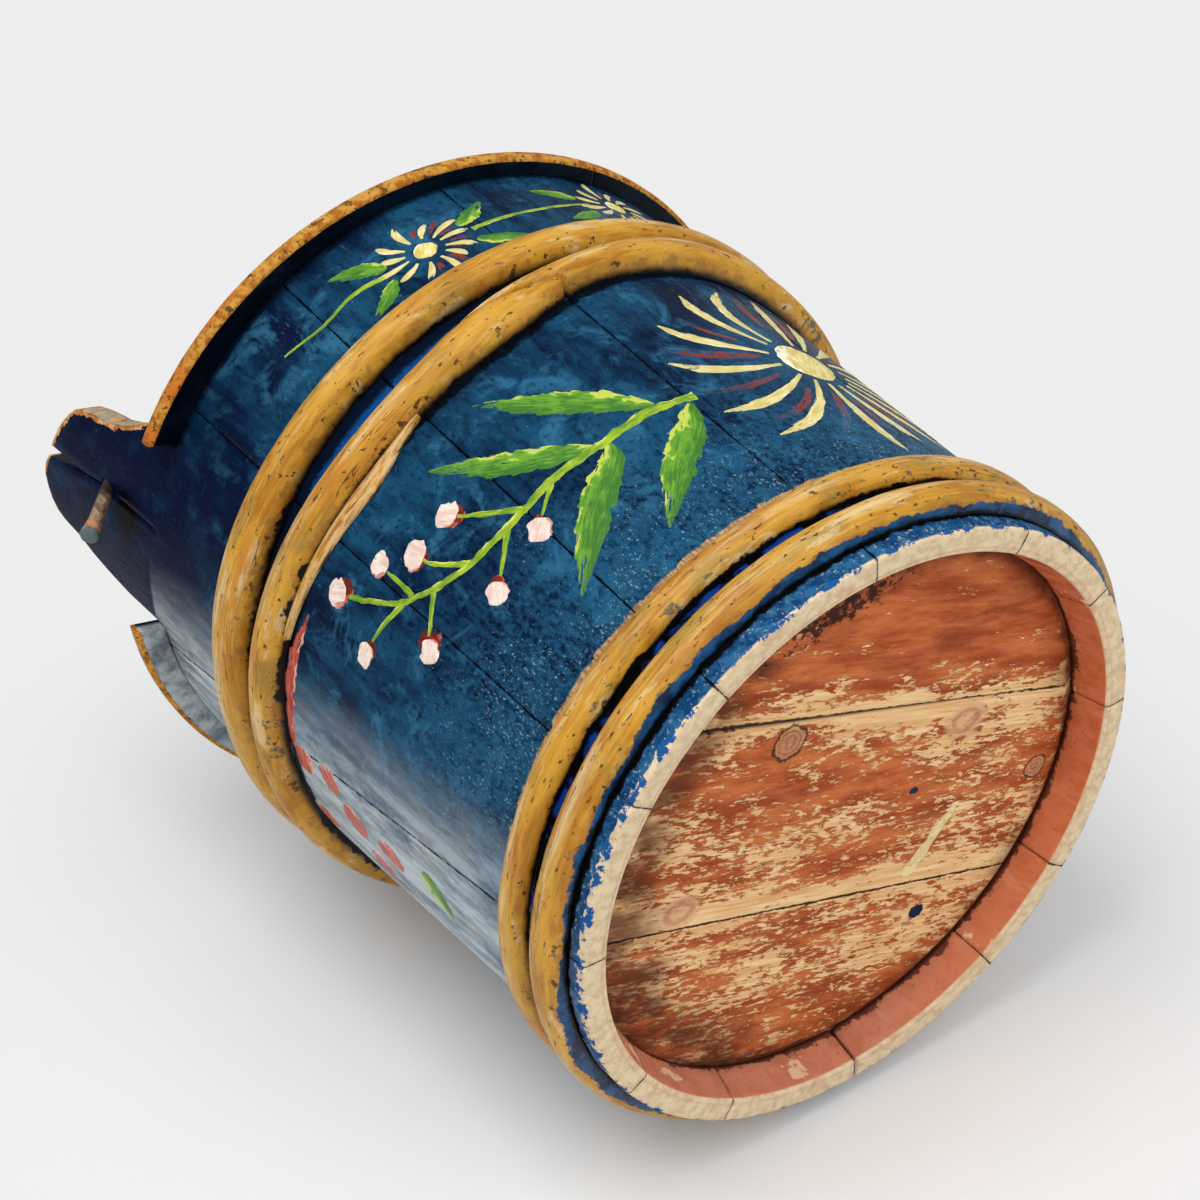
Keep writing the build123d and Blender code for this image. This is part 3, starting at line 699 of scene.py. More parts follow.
def make_head_material():
    """Red-ochre paint rubbed off along the grain down to pale wood."""
    shade = Shade("head")
    grain = shade.mark("grain", vector=True)
    rim = shade.mark("rim")
    spot = shade.mark("spot", vector=True)
    knot, seam, smear = spot.parts()
    _, across, _ = grain.parts()
    rubbed = shade.mark("rubbed")
    wood, wood_height = bare_wood(grain, (242, 209, 157), (218, 165, 109))
    flecks = grain.scaled(0.3, 1, 1).noise(640, 5, 0.72, 0.3)
    broad = grain.scaled(0.35, 1, 1).noise(30, 4, 0.65)
    patches = grain.scaled(0.45, 1, 1).noise(120, 4, 0.7)
    cover = flecks * 0.46 + broad * 0.36
    cover = cover + patches * 0.3
    cover = cover + across.rise(-0.05, -0.06) * 0.02
    upper = across.rise(-0.036, -0.06)
    cover = cover + upper * 0.07
    cover = cover - rubbed * 0.1
    painted = cover.rise(0.541, 0.559)
    tone = grain.scaled(0.2, 1, 1).noise(150, 4, 0.65)
    red = tone.rise(0.34, 0.66).mix((154, 66, 28), (202, 112, 62))
    stain = grain.scaled(0.4, 1, 1).noise(60, 4, 0.7)
    red = (stain.rise(0.5, 0.66) * 0.5).mix(red, (118, 46, 28))
    colour = painted.mix(wood, red)
    x, y, _ = shade.place().parts()
    reach = (x * x + y * y) ** 0.5
    # Darker brown towards the rim, furthest on the -X side: painted shade of the chime over the rim,
    # broken up by the stain
    leftward = x.rise(0, -0.07)
    rim_shade = reach + leftward.blend(-0.007, 0.009)
    rim_shade = rim_shade.rise(0.075, 0.0935) * stain.rise(0.34, 0.58)
    colour = (rim_shade * 0.85).mix(colour, (84, 36, 16))
    knot_bite = (grain.noise(300, 4, 0.7) - 0.5) * 0.5
    knot_level = knot + knot_bite * knot.rise(0, 0.3)
    eye = knot_level.rise(0.42, 0.5)
    colour = (eye * 0.75).mix(colour, (190, 136, 100))
    shaved_level = shade.mark("shaved") + knot_bite * 0.5
    shaved = shaved_level.rise(0.3, 0.55)
    swirl = (shaved_level * 15).sine()
    pink = swirl.rise(-1, 1).mix((190, 130, 98), (216, 168, 130))
    colour = (shaved * 0.8).mix(colour, pink)
    rings = (knot_level * 30).sine()
    ringed = rings.rise(0.2, 0.9) * eye
    colour = (ringed * 0.5).mix(colour, (110, 58, 38))
    rim_line = knot_level.rise(0.34, 0.42) * knot_level.rise(0.52, 0.46)
    colour = (rim_line * 0.85).mix(colour, (60, 26, 20))
    bite = grain.noise(230, 4, 0.75) - 0.5
    blue = (smear + bite * 0.9).rise(0.5, 0.58)
    colour = blue.mix(colour, (22, 34, 66))
    # Dark seams, and near the rim on the -Y side the painted shadow of the chime, which shares their
    # mark
    dark = (seam + bite * 1.3).rise(0.5, 0.62)
    colour = (dark * 0.93).mix(colour, (30, 13, 12))
    fleck = grain.scaled(0.5, 1, 1).noise(700, 3, 0.6)
    colour = (fleck.rise(0.66, 0.7) * 0.7).mix(colour, (84, 36, 24))
    bite_pale = shade.mark("streak") + bite * 0.6
    colour = (bite_pale.rise(0.42, 0.55) * 0.85).mix(colour, (232, 214, 158))
    groove = rim.rise(0.5, 0.8)
    colour = (groove * 0.5).mix(colour, (96, 46, 32))
    rough = painted.blend(0.72, 0.52)
    height = wood_height * 0.6 + painted * 0.3
    return shade.finish(colour, rough, height, 0.0004, shine=0.08)


def make_lid_material():
    """Dark blue on both faces with an ochre edge, chipped to green and black."""
    shade = Shade("lid")
    rim = shade.mark("rim")
    grain = shade.mark("grain", vector=True)
    place = shade.place()
    blue, blue_rough, blue_height = wall_paint(shade)
    wood, wood_height = bare_wood(grain)
    tone = place.noise(240, 4, 0.65)
    ochre = tone.rise(0.38, 0.6).mix((158, 92, 26), (204, 150, 64))
    x, y, z = place.parts()
    burnt = place.noise(60, 3, 0.6).rise(0.48, 0.58) * (x.rise(-0.095, -0.112) * y.rise(0, -0.02))
    ochre = (burnt * 0.85).mix(ochre, (196, 106, 32))
    chips = place.noise(330, 4, 0.7)
    ochre = (chips.rise(0.58, 0.63) * 0.85).mix(ochre, (42, 50, 34))
    deep = place.noise(520, 3, 0.6)
    ochre = (deep.rise(0.62, 0.67) * 0.8).mix(ochre, (22, 18, 18))
    ragged = rim + (chips - 0.5) * 0.5
    edge = ragged.rise(0.45, 0.58)
    # The underside inside the wall is bare wood
    reach = (x * x + y * y) ** 0.5
    under = z.rise(MOUTH + 0.0022, MOUTH + 0.0016) * reach.rise(0.1235, 0.1225)
    shaded = z.rise(MOUTH + 0.003, MOUTH + 0.002) * y.rise(0.04, -0.01)
    blue = (shaded * 0.88).mix(blue, (4, 5, 10))
    colour = under.mix(blue, wood)
    colour = edge.mix(colour, ochre)
    rough = edge.blend(under.blend(blue_rough, 0.7), 0.5)
    height = edge.blend(under.blend(blue_height, wood_height), tone)
    return shade.finish(colour, rough, height, 0.0003, shine=0.08)


def make_timber_material(name, pale, deep, dirty):
    """Bare wood, darkened by hands and dirt in patches."""
    shade = Shade(name)
    grain = shade.mark("grain", vector=True)
    wood, tone = bare_wood(grain, pale, deep)
    patches = grain.scaled(0.5, 1, 1).noise(160, 4, 0.7)
    colour = (patches.rise(0.5, 0.64) * 0.7).mix(wood, dirty)
    shine = patches.rise(0.4, 0.7).blend(0.62, 0.4)
    return shade.finish(colour, shine, tone, 0.0003)


def make_peg_material():
    """Grey-brown wood, near black at the hole, with a burnt patch and a teal-grey end."""
    shade = Shade("peg_wood")
    grain = shade.mark("grain", vector=True)
    out = shade.mark("out")
    wood, tone = bare_wood(grain, (176, 146, 116), (96, 74, 56))
    patches = grain.noise(420, 3, 0.6)
    level = out + (patches - 0.5) * 0.35
    colour = level.rise(0.34, 0.1).mix(wood, (38, 26, 16))
    burnt = level.rise(0.72, 0.76) * patches.rise(0.5, 0.56)
    colour = burnt.mix(colour, (204, 132, 82))
    colour = level.rise(0.88, 0.94).mix(colour, (84, 100, 100))
    rough = patches.rise(0.4, 0.7).blend(0.4, 0.6)
    return shade.finish(colour, rough, tone, 0.0003, shine=0.3)


def make_brush_material(name, light, dark, accent, accent_at, dryness, lean=0.0):
    """One brush colour: bristle streaks along the stroke, an accent on one side, and dry ends.

    accent_at is the level that the accent sets in from: the first number weighs the place along the
    stroke, the second the place across it. dryness is how soon the wall shows through.
    """
    shade = Shade(name)
    along, across, _ = shade.mark("stroke", vector=True).parts()
    metric = shade.mark("metric", vector=True)
    wall, wall_rough, wall_height = wall_paint(shade)
    bristle = metric.scaled(0.09, 1, 1).noise(1500, 3, 0.65)
    patch = metric.scaled(0.5, 1, 1).noise(260, 3, 0.6)
    tone = bristle * 0.5 + patch * 0.5
    tone = tone + across * lean
    colour = tone.rise(0.4, 0.6).mix(dark, light)
    weigh_along, weigh_across, start = accent_at
    level = along * weigh_along + across * weigh_across
    level = level + (patch - 0.5) * 2.2
    colour = level.rise(start, start + 0.15).mix(colour, accent)
    edge = abs(across)
    dry = bristle * 0.6 + patch * 0.4
    dry = dry + along.rise(0.45, 1) * 0.12
    dry = dry + edge.rise(0.55, 1) * 0.08
    bare = dry.rise(dryness, dryness + 0.05)
    colour = bare.mix(colour, wall)
    rough = bare.blend(0.35, wall_rough)
    height = bare.blend(bristle * 0.6 + 0.4, wall_height)
    return shade.finish(colour, rough, height, 0.00025, shine=0.12)


# Brush colours: light, dark, accent, where the accent sets in, dryness, and lean to the dark side
BRUSHES = {
    "cream_paint": ((236, 224, 160), (206, 186, 110), (246, 240, 204), (0, 0.8, 0.72), 0.64),
    "core_paint": ((240, 228, 160), (214, 190, 96), (248, 246, 224), (0, 0.9, 0.5), 0.78),
    "red_paint": ((170, 66, 52), (118, 40, 40), (186, 104, 84), (0.3, 0.3, 0.75), 0.49),
    "green_paint": ((110, 164, 50), (60, 116, 42), (190, 204, 88), (-0.4, -0.7, 0.22), 0.62, -0.1),
    "stem_paint": ((166, 190, 50), (100, 144, 38), (214, 218, 112), (0, -0.6, 0.45), 0.68),
    "berry_paint": ((244, 230, 218), (224, 190, 176), (206, 134, 116), (-0.9, 0.9, 0.35), 0.7),
    "bud_paint": ((150, 46, 30), (84, 22, 20), (196, 92, 62), (0.3, 0.9, 0.75), 0.62),
    "rose_paint": ((212, 116, 96), (176, 62, 50), (234, 172, 152), (0.5, -0.6, 0.62), 0.6),
}
stave_material = make_stave_material()
hoop_material = make_hoop_material()
head_material = make_head_material()
lid_material = make_lid_material()
peg_material = make_peg_material()
bar_material = make_timber_material("bar_wood", (196, 160, 112), (128, 88, 52), (70, 50, 34))
brushes = {name: make_brush_material(name, *colours) for name, colours in BRUSHES.items()}


# Hoops: sizes repeated from the CAD model

HOOP_SIDE_SHARE = 0.4
HOOP_SEAT = 0.00005
LAP_ANGLE = 18.0
LAP_GAP = 0.00035
LAP_TIP = 0.001
LAP_SHOULDER = 1.2
HOOP_SWAY = 0.0004


def bump(azimuth, centre, spread):
    """Smooth bump round an azimuth, 1 at its centre."""
    return np.exp(-(apart(azimuth, centre) / spread) ** 2)


def level_edges(centre, width, sway_turn):
    """Edges of a nearly level hoop."""
    def edges(azimuth):
        middle = centre + HOOP_SWAY * np.sin(np.radians(2 * azimuth + sway_turn))
        return middle - width / 2, middle + width / 2
    return edges


def middle_edges(azimuth):
    """Edges of the middle hoop, which dips below its lap and rises beyond it."""
    centre = 0.1656 - 0.0065 * bump(azimuth, 224, 26) + 0.0072 * bump(azimuth, 283, 26)
    width = 0.011 + 0.0065 * bump(azimuth, 245, 12) + 0.0024 * bump(azimuth, 283, 16)
    return centre - width / 2, centre + width / 2


def upper_edges(azimuth):
    """Edges of the upper hoop, which is widest beside the split ear."""
    wide = bump(azimuth, 185, 25)
    centre = 0.1855 + 0.0017 * wide + 0.001 * bump(azimuth, 290, 40)
    width = 0.0126 + 0.0055 * wide
    return centre - width / 2, centre + width / 2


def crown_height(low, high, thickness, height):
    """How far a D section stands out from its seat at a height between its two edges."""
    side = HOOP_SIDE_SHARE * thickness
    half = (high - low) / 2
    rise = thickness - side
    radius = (half * half + rise * rise) / (2 * rise)
    offset = height - (low + high) / 2
    return thickness - radius + np.sqrt(np.maximum(radius * radius - offset * offset, 0))


# Staves

def stave_rows():
    """Heights of the rows of a stave's net, with both lips of the head's groove."""
    middle = (HEAD_LOW + HEAD_HIGH) / 2
    lip = 0.00002
    low, high = middle - GROOVE_HEIGHT / 2, middle + GROOVE_HEIGHT / 2
    foot = [0.0, 0.0025, 0.005, 0.0085, HEAD_LOW, low - lip, low + lip, high - lip, high + lip]
    return np.array(foot + list(np.linspace(HEAD_HIGH, MOUTH, 104)))


# Rings round a stave's border from the outside to the inside: outset and share
STAVE_RIM = [(-0.0009, 0.0), (-0.00028, 0.03), (0.0, 0.10), (0.0, 0.30), (0.0, 0.55), (0.0, 0.80),
             (-0.0003, 0.96), (-0.0009, 1.0)]
# How much of the rim's rounding the upright sides of a stave get
SIDE_SOFTNESS = 0.2
EAR_SIDE_SOFTNESS = 0.6


def stave_place(points, share):
    """A point of a stave's sheet in the frame: front on the outside, back on the inside."""
    azimuth = sheet_azimuth(points)
    height = points[:, 1]
    outer = wall_radius(height) - wall_relief(azimuth, height)
    inner = wall_inside(height)
    return polar(outer + (inner - outer) * share, azimuth, height)


def grain_of(sheet, shares, seed):
    """Grain runs up a stave: height first, then the way round, then the depth."""
    offset = seed * 0.37
    return np.stack([sheet[:, 1] + offset, sheet[:, 0], shares * 0.01 + offset], axis=-1)


def below_hoops(sheet):
    """How far places on the sheet lie below the two upper hoops' lower edges."""
    azimuth = sheet_azimuth(sheet)
    return {"below_upper": upper_edges(azimuth)[0] - sheet[:, 1],
            "below_middle": middle_edges(azimuth)[0] - sheet[:, 1]}


def beside_joints(sheet, first, last, turn=0.0):
    """Distance of places on the sheet from the nearer of a stave's two joints."""
    azimuth = sheet_azimuth(sheet) + turn
    distances = []
    for index in (first, last):
        offset = apart(azimuth, joint_azimuth(index, np.minimum(sheet[:, 1], MOUTH)))
        distances.append(np.abs(np.radians(offset)) * SHEET_RADIUS)
    return np.minimum(*distances)


def stave_sides(first, last, turn=0.0):
    """Heights of the rows of a stave's net, and the azimuths of its two sides, less a turn."""
    rows = stave_rows()[:, None]
    start = joint_azimuth(first, rows) + joint_half_gap(first, rows) - turn
    end = joint_azimuth(last, rows) - joint_half_gap(last, rows) - turn
    start = np.where(start < 0, start + 360, start)
    return rows, start, np.where(end < start, end + 360, end)


def build_plain_stave(index, name):
    """A stave between two joints, closed on all sides."""
    rows, start, end = stave_sides(index, index + 1)
    count = max(8, round(float(end[0, 0] - start[0, 0]) / 1.25))
    across = np.linspace(0, 1, count + 1)[None, :]
    points, faces = weld([net(on_sheet(start + (end - start) * across, rows))])
    solid, made, sheet, shares, _ = thick_sheet(points, faces, stave_place, STAVE_RIM,
                                                inset_scale=(SIDE_SOFTNESS, 1))
    piece(name + "_worn", solid, made, "vessel", stave_material, "blue_paint", (name,),
          grain=grain_of(sheet, shares, index), share=shares, wear=np.zeros(len(shares)),
          joint=beside_joints(sheet, index, index + 1), **below_hoops(sheet))


def curve_through(points, count):
    """A smooth curve through points, as an array of evenly spaced points."""
    points = np.array(points, float)
    before = 2 * points[0] - points[1]
    after = 2 * points[-1] - points[-2]
    guides = np.vstack([before, points, after])
    fine = []
    for k in range(1, len(guides) - 2):
        a, b, c, d = guides[k - 1:k + 3]
        for t in np.linspace(0, 1, 24, endpoint=False):
            fine.append(0.5 * ((2 * b) + (c - a) * t + (2 * a - 5 * b + 4 * c - d) * t ** 2
                               + (3 * b - a - 3 * c + d) * t ** 3))
    fine.append(points[-1])
    return even(np.array(fine), count)


def even(line, count):
    """The same line with its points evenly spaced."""
    steps = np.hypot(*np.diff(line[:, :2], axis=0).T)
    length = np.concatenate([[0], np.cumsum(steps)])
    wanted = np.linspace(0, length[-1], count)
    return np.stack([np.interp(wanted, length, line[:, k]) for k in range(line.shape[1])], axis=-1)


def coons(bottom, top, left, right):
    """Net of points between four edges; left and right run upwards, the others to the right."""
    columns, rows = len(bottom), len(left)
    u = np.linspace(0, 1, columns)[None, :, None]
    v = np.linspace(0, 1, rows)[:, None, None]
    between = (1 - v) * bottom[None] + v * top[None] + (1 - u) * left[:, None] + u * right[:, None]
    corners = ((1 - u) * (1 - v) * bottom[0] + u * (1 - v) * bottom[-1]
               + (1 - u) * v * top[0] + u * v * top[-1])
    return between - corners


def ear_sheet_point(offset, height):
    """Sheet place of a point of the ear at -X, given its sideways offset and height."""
    azimuth = np.pi - np.arcsin(offset / wall_radius(height))
    return np.stack([azimuth * SHEET_RADIUS, height + 0 * azimuth], axis=-1)


def ear_place(points, share):
    """As stave_place, but above the mouth the ear's sides run straight in."""
    azimuth = points[:, 0] / SHEET_RADIUS
    height = points[:, 1]
    outer = wall_radius(height) - wall_relief(np.degrees(azimuth), height)
    inner = np.where(height > MOUTH, wall_radius(height) - MOUTH_THICKNESS, wall_inside(height))
    radius = outer + (inner - outer) * share
    straight = np.pi - np.arcsin(outer * np.sin(azimuth) / radius)
    share_up = smooth(height, MOUTH - 0.012, MOUTH)
    return polar(radius, np.degrees(azimuth + (straight - azimuth) * share_up), height)


def ear_outline_parts(split, rows):
    """The ear's worn top outline on both sides of its split, and the split's two edges."""
    outline = curve_through([EAR_SHOULDERS[0]] + EAR_PROFILE + [EAR_SHOULDERS[1]], 400)
    length = np.arange(len(outline)) * 0.0005
    wear = noise_at(length * 160, 0, 0, 11 + split) + 0.5 * noise_at(length * 420, 0, 0, 12 + split)
    fade = smooth(length, 0.01, 0.02) * smooth(length[::-1], 0.01, 0.02)
    outline[:, 1] -= 0.0005 * (1 + wear) * fade
    centre, half = SPLIT_TIP
    if not split:
        half = 0
    offsets = outline[::-1, 0]
    heights = outline[::-1, 1]

    def cut(at):
        return np.array([at, np.interp(at, offsets, heights)])

    right = np.vstack([outline[outline[:, 0] > centre + half + 0.0003], cut(centre + half)])
    left = np.vstack([cut(centre - half), outline[outline[:, 0] < centre - half - 0.0003]])
    closing_offset, closing_rise, closing_half = SPLIT_CLOSING
    rises = np.linspace(0, 1, rows)
    edges = []
    for side, tip in ((+1, right[-1]), (-1, left[0])):
        rise = rises * tip[1]
        middle = np.interp(rise, [0, PEG_RISE, closing_rise, tip[1]],
                           [-PEG_OFFSET, -PEG_OFFSET, closing_offset, centre])
        opening = np.interp(rise, [PEG_RISE + 0.001, PEG_RISE + 0.0012, closing_rise, tip[1]],
                            [0, closing_half, closing_half, half])
        if not split:
            opening = 0 * rise
        edges.append(np.stack([middle + side * opening, rise], axis=-1))
    return right, left, edges


def build_ear_stave(name, turn, split, joints):
    """A stave that runs up into an ear; turn is 0 for the ear at -X and 180 for the other."""
    first, last = joints
    rows_above = 34
    columns_right, columns_left, columns_shoulder = 16, 15, 3
    right, left, (right_edge, left_edge) = ear_outline_parts(split, rows_above)
    if not split:
        left_edge = right_edge
    (right_shoulder, shoulder_rise), (left_shoulder, _) = EAR_SHOULDERS
    foot = -PEG_OFFSET
    side_right = np.linspace((right_shoulder, 0), (right_shoulder, shoulder_rise), rows_above)
    side_left = np.linspace((left_shoulder, 0), (left_shoulder, shoulder_rise), rows_above)
    base_right = np.linspace((right_shoulder, 0), (foot, 0), columns_right + 1)
    base_left = np.linspace((foot, 0), (left_shoulder, 0), columns_left + 1)
    grid_right = coons(base_right, even(right, columns_right + 1), side_right, right_edge)
    grid_left = coons(base_left, even(left, columns_left + 1), left_edge, side_left)

    def unrolled(grid):
        return ear_sheet_point(grid[..., 0], MOUTH + grid[..., 1])

    patches = [net(unrolled(grid_right)), net(unrolled(grid_left))]
    # The stave below, whose columns meet those of the ear at the mouth
    rows, start, end = stave_sides(first, last, turn)
    at_mouth = sheet_azimuth(np.concatenate([patches[0][0][:columns_right + 1],
                                             patches[1][0][1:columns_left + 1]]))
    columns = np.concatenate([np.linspace(start[-1, 0], at_mouth[0], columns_shoulder + 1)[:-1],
                              at_mouth,
                              np.linspace(at_mouth[-1], end[-1, 0], columns_shoulder + 1)[1:]])
    across = (columns - start[-1]) / (end[-1] - start[-1])
    azimuth = start + (end - start) * across
    azimuth[-1] = columns
    patches.append(net(on_sheet(azimuth, rows)))
    points, faces = weld(patches, 2e-6)
    solid, made, sheet, shares, _ = thick_sheet(points, faces, ear_place, STAVE_RIM,
                                                inset_scale=(EAR_SIDE_SOFTNESS, 1))
    # Worn along its top outline, but not in the split
    outline = np.concatenate([unrolled(right[-18:]), unrolled(left)])
    outline = outline[outline[:, 1] > MOUTH + 0.021]
    distance = np.sqrt(((sheet[:, None] - outline[None, ::3]) ** 2).sum(-1).min(1))
    wear = np.exp(-(distance / 0.0024) ** 2)
    if turn:
        solid = solid * np.array([-1, -1, 1])
    turned_sheet = sheet + np.array([np.radians(turn) * SHEET_RADIUS, 0])
    stave = piece(name + "_worn", solid, made, "vessel", stave_material, "blue_paint", (name,),
                  grain=grain_of(sheet, shares, first), share=shares, wear=wear,
                  joint=beside_joints(sheet, first, last, turn), **below_hoops(turned_sheet))
    bore(stave, *peg_axis(turn), -PEG_BORE_REACH, PEG_BORE_REACH, PEG_RADIUS + HOLE_CLEARANCE, 28)


def peg_axis(turn):
    """Where a peg's axis meets the outside of the ear, its direction outwards, and one across it."""
    height = MOUTH + PEG_RISE
    radius = float(wall_radius(height))
    azimuth = 180 + np.degrees(PEG_OFFSET / radius)
    origin = Vector(polar(radius, azimuth, height))
    outward = Vector(polar(1.0, azimuth, 0.0))
    sideways = outward.cross(UP)
    skew, slope = np.radians(PEG_SKEW), np.radians(PEG_SLOPE)
    level = outward * np.cos(skew) + sideways * np.sin(skew)
    direction = level * np.cos(slope) - UP * np.sin(slope)
    spin = Matrix.Rotation(np.radians(turn), 3, "Z")
    return spin @ origin, (spin @ direction).normalized()


def lathe(profile, origin, direction, sides, wobble=None):
    """Points and faces of a turned form: profile lists (distance along the axis, radius)."""
    turn = direction.to_track_quat("Z", "Y").to_matrix()
    points = []
    for along, radius in profile:
        for side in range(sides):
            angle = 2 * np.pi * side / sides
            reach = radius * (1 if wobble is None else wobble(along, angle))
            local = Vector((reach * np.cos(angle), reach * np.sin(angle), along))
            points.append(tuple(origin + turn @ local))
    return points, tube_faces(len(profile), sides)


def bore(target, origin, direction, start, end, radius, sides):
    """Cut a round hole into a piece for good."""
    points, faces = lathe([(start, radius), (end, radius)], origin, direction, sides)
    mesh = bpy.data.meshes.new("bore")
    mesh.from_pydata(points, [], faces)
    cutter = bpy.data.objects.new("bore", mesh)
    bpy.context.scene.collection.objects.link(cutter)
    modifier = target.modifiers.new("cut", "BOOLEAN")
    modifier.object = cutter
    modifier.operation = "DIFFERENCE"
    modifier.solver = "MANIFOLD"
    graph = bpy.context.evaluated_depsgraph_get()
    carved = bpy.data.meshes.new_from_object(target.evaluated_get(graph), preserve_all_data_layers=True,
                                             depsgraph=graph)
    target.modifiers.clear()
    target.data = carved
    bpy.data.objects.remove(cutter)


def build_staves():
    """The twelve staves, two of them with ears."""
    plain = 0
    for index in range(len(STAVE_JOINTS)):
        start = STAVE_JOINTS[index][0]
        end = STAVE_JOINTS[(index + 1) % len(STAVE_JOINTS)][0]
        if start < 180 < end:
            build_ear_stave("ear_stave_split", 0, True, (index, index + 1))
        elif start > end:
            build_ear_stave("ear_stave_whole", 180, False, (index, index + 1))
        else:
            build_plain_stave(index, f"stave_{plain + 1:02d}")
            plain += 1


# Hoops as meshes

def strip(turns, azimuths, low, high, bottom, top, thickness, seed, columns=22, chips=1.0):
    """Closed mesh of a branch strip laid round the wall, with grain ridges and chipped edges."""
    share = (1 - np.cos(np.linspace(0, np.pi, columns))) / 2
    run = np.radians(turns) * 0.12

    def ragged(edge):
        """Slow waves along an edge, and here and there a bite."""
        wave = noise_at(run * 90, 5 * edge, 0, seed + edge)
        bite = smooth(noise_at(run * 260, 9 * edge, 0, seed + 3 + edge), 0.25, 0.7)
        return np.minimum(chips * (0.0002 * (1 + wave) + 0.0005 * bite), (top - bottom) * 0.25)

    bottom = bottom + ragged(0)
    top = top - ragged(1)
    height = bottom[:, None] + (top - bottom)[:, None] * share[None, :]
    outstand = crown_height(low[:, None], high[:, None], thickness, height)
    corner = np.minimum(0.0022, (top - bottom) * 0.45)[:, None]
    inset = np.minimum(height - bottom[:, None], top[:, None] - height)
    round_share = np.clip(1 - inset / corner, 0, 1)
    outstand = outstand * np.maximum(1 - round_share ** 2.6, 0) ** (1 / 2.6)
    across = (height - (low + high)[:, None] / 2) / ((high - low)[:, None] / 2)
    grid_run = np.broadcast_to(run[:, None], height.shape)
    ridge_place = np.stack([grid_run * 45, across * 5.0, 0 * height], -1)
    ridges = fractal(ridge_place, seed + 7, 3)
    lumps = noise_at(grid_run * 32, across * 0.8, 0, seed + 8)
    relief = (0.00016 * ridges + 0.00028 * lumps - 0.0003) * np.clip(outstand / thickness, 0, 1)
    outstand = np.maximum(outstand + relief, 0)
    seat = wall_radius(height) * 1.0015 + HOOP_SEAT
    outer = polar(seat + outstand, azimuths[:, None], height)
    inner_share = np.array([1.0, 0.5, 0.0])[None, :]
    inner_height = bottom[:, None] + (top - bottom)[:, None] * inner_share
    inner = polar(wall_radius(inner_height) + HOOP_SEAT, azimuths[:, None], inner_height)
    ring = np.concatenate([outer, inner], axis=1)
    flank = np.concatenate([np.clip(outstand / thickness, 0, 1), 0 * inner_height], axis=1)
    marks = np.concatenate([across, -inner_share + 0 * inner_height], axis=1)
    run_all = np.broadcast_to(run[:, None], flank.shape)
    metric = marks * (high - low)[:, None] / 2
    grain = np.stack([run_all + seed * 0.71, metric, flank * 0.002], axis=-1)
    return (ring.reshape(-1, 3), tube_faces(*ring.shape[:2]), grain.reshape(-1, 3), marks.ravel(),
            flank.ravel())


def lap_share(points):
    """How far the wall's blue laps over a hoop: furthest at -Y and beside the split ear at +Y."""
    azimuth = np.degrees(np.arctan2(points[:, 1], points[:, 0])) % 360
    return np.clip(0.55 + 0.45 * bump(azimuth, 265, 45) + 0.45 * bump(azimuth, 140, 28), 0, 1)


def build_hoop(name, edges, thickness, lap_start, seed, over, blunt_share=0.3):
    """One strip with lapped ends: it starts blunt and low and ends as a point above its start."""
    lap = np.linspace(0, LAP_ANGLE, 19)
    body_run = np.linspace(LAP_ANGLE + LAP_SHOULDER, 360 - LAP_SHOULDER, 300)
    turns = np.concatenate([lap, body_run, 360 + lap])
    azimuths = lap_start - turns
    low, high = edges(azimuths)
    tip_share = 1 - (LAP_TIP + LAP_GAP / 2) / (high - low)
    share = blunt_share + (tip_share - blunt_share) * (turns % 360) / LAP_ANGLE
    seam = low + (high - low) * share
    top = np.where(turns <= LAP_ANGLE, seam - LAP_GAP / 2, high)
    bottom = np.where(turns >= 360, seam + LAP_GAP / 2, low)
    points, faces, grain, across, flank = strip(turns, azimuths, low, high, bottom, top, thickness,
                                                seed)
    piece(name + "_worn", points, faces, "vessel", hoop_material, "ochre_paint", (name,),
          grain=grain, across=across, flank=flank, over=over * lap_share(points))


def build_sliver():
    """The sliver split off the lower edge of the middle hoop."""
    start, widest, end = 184.0, 213.0, 226.0
    azimuths = np.linspace(start, end, 60)
    reach = np.where(azimuths < widest, widest - start, end - widest)
    share = np.maximum(1 - np.abs(azimuths - widest) / reach, 0)
    hoop_low, _ = middle_edges(azimuths)
    low = hoop_low - 0.0065 * share - 0.0004
    high = hoop_low + 0.0012
    points, faces, grain, across, flank = strip(-azimuths, azimuths, low, high, low, high, 0.0026, 61,
                                                columns=10, chips=0.6)
    faces = [face[::-1] for face in faces]
    piece("hoop_middle_sliver", points, faces, "vessel", hoop_material, "ochre_paint",
          grain=grain, across=across, flank=flank, over=np.full(len(points), -1.0))


def build_hoops():
    """The four hoops from the foot up, and the middle one's sliver."""
    build_hoop("hoop_foot", level_edges(0.0137, 0.0126, 40), 0.007, 62, 21, 1.0)
    build_hoop("hoop_base", level_edges(0.0304, 0.0116, 100), 0.006, 20, 31, 0.35)
    build_hoop("hoop_middle", middle_edges, 0.0095, 256.5, 41, 0.1, blunt_share=0.35)
    build_hoop("hoop_upper", upper_edges, 0.010, 40, 51, 0.1)
    build_sliver()


# Head boards

HEAD_TURN = 7.8
HEAD_SEAMS = [(8.0, -0.0405), (7.6, 0.0322)]
HEAD_SEAM_OPENING = 0.0009
HEAD_SEAM_GAP = 0.0002
HEAD_FLAT = 0.0936
HEAD_SHOULDER = 0.0986
HEAD_RIM = 0.1014
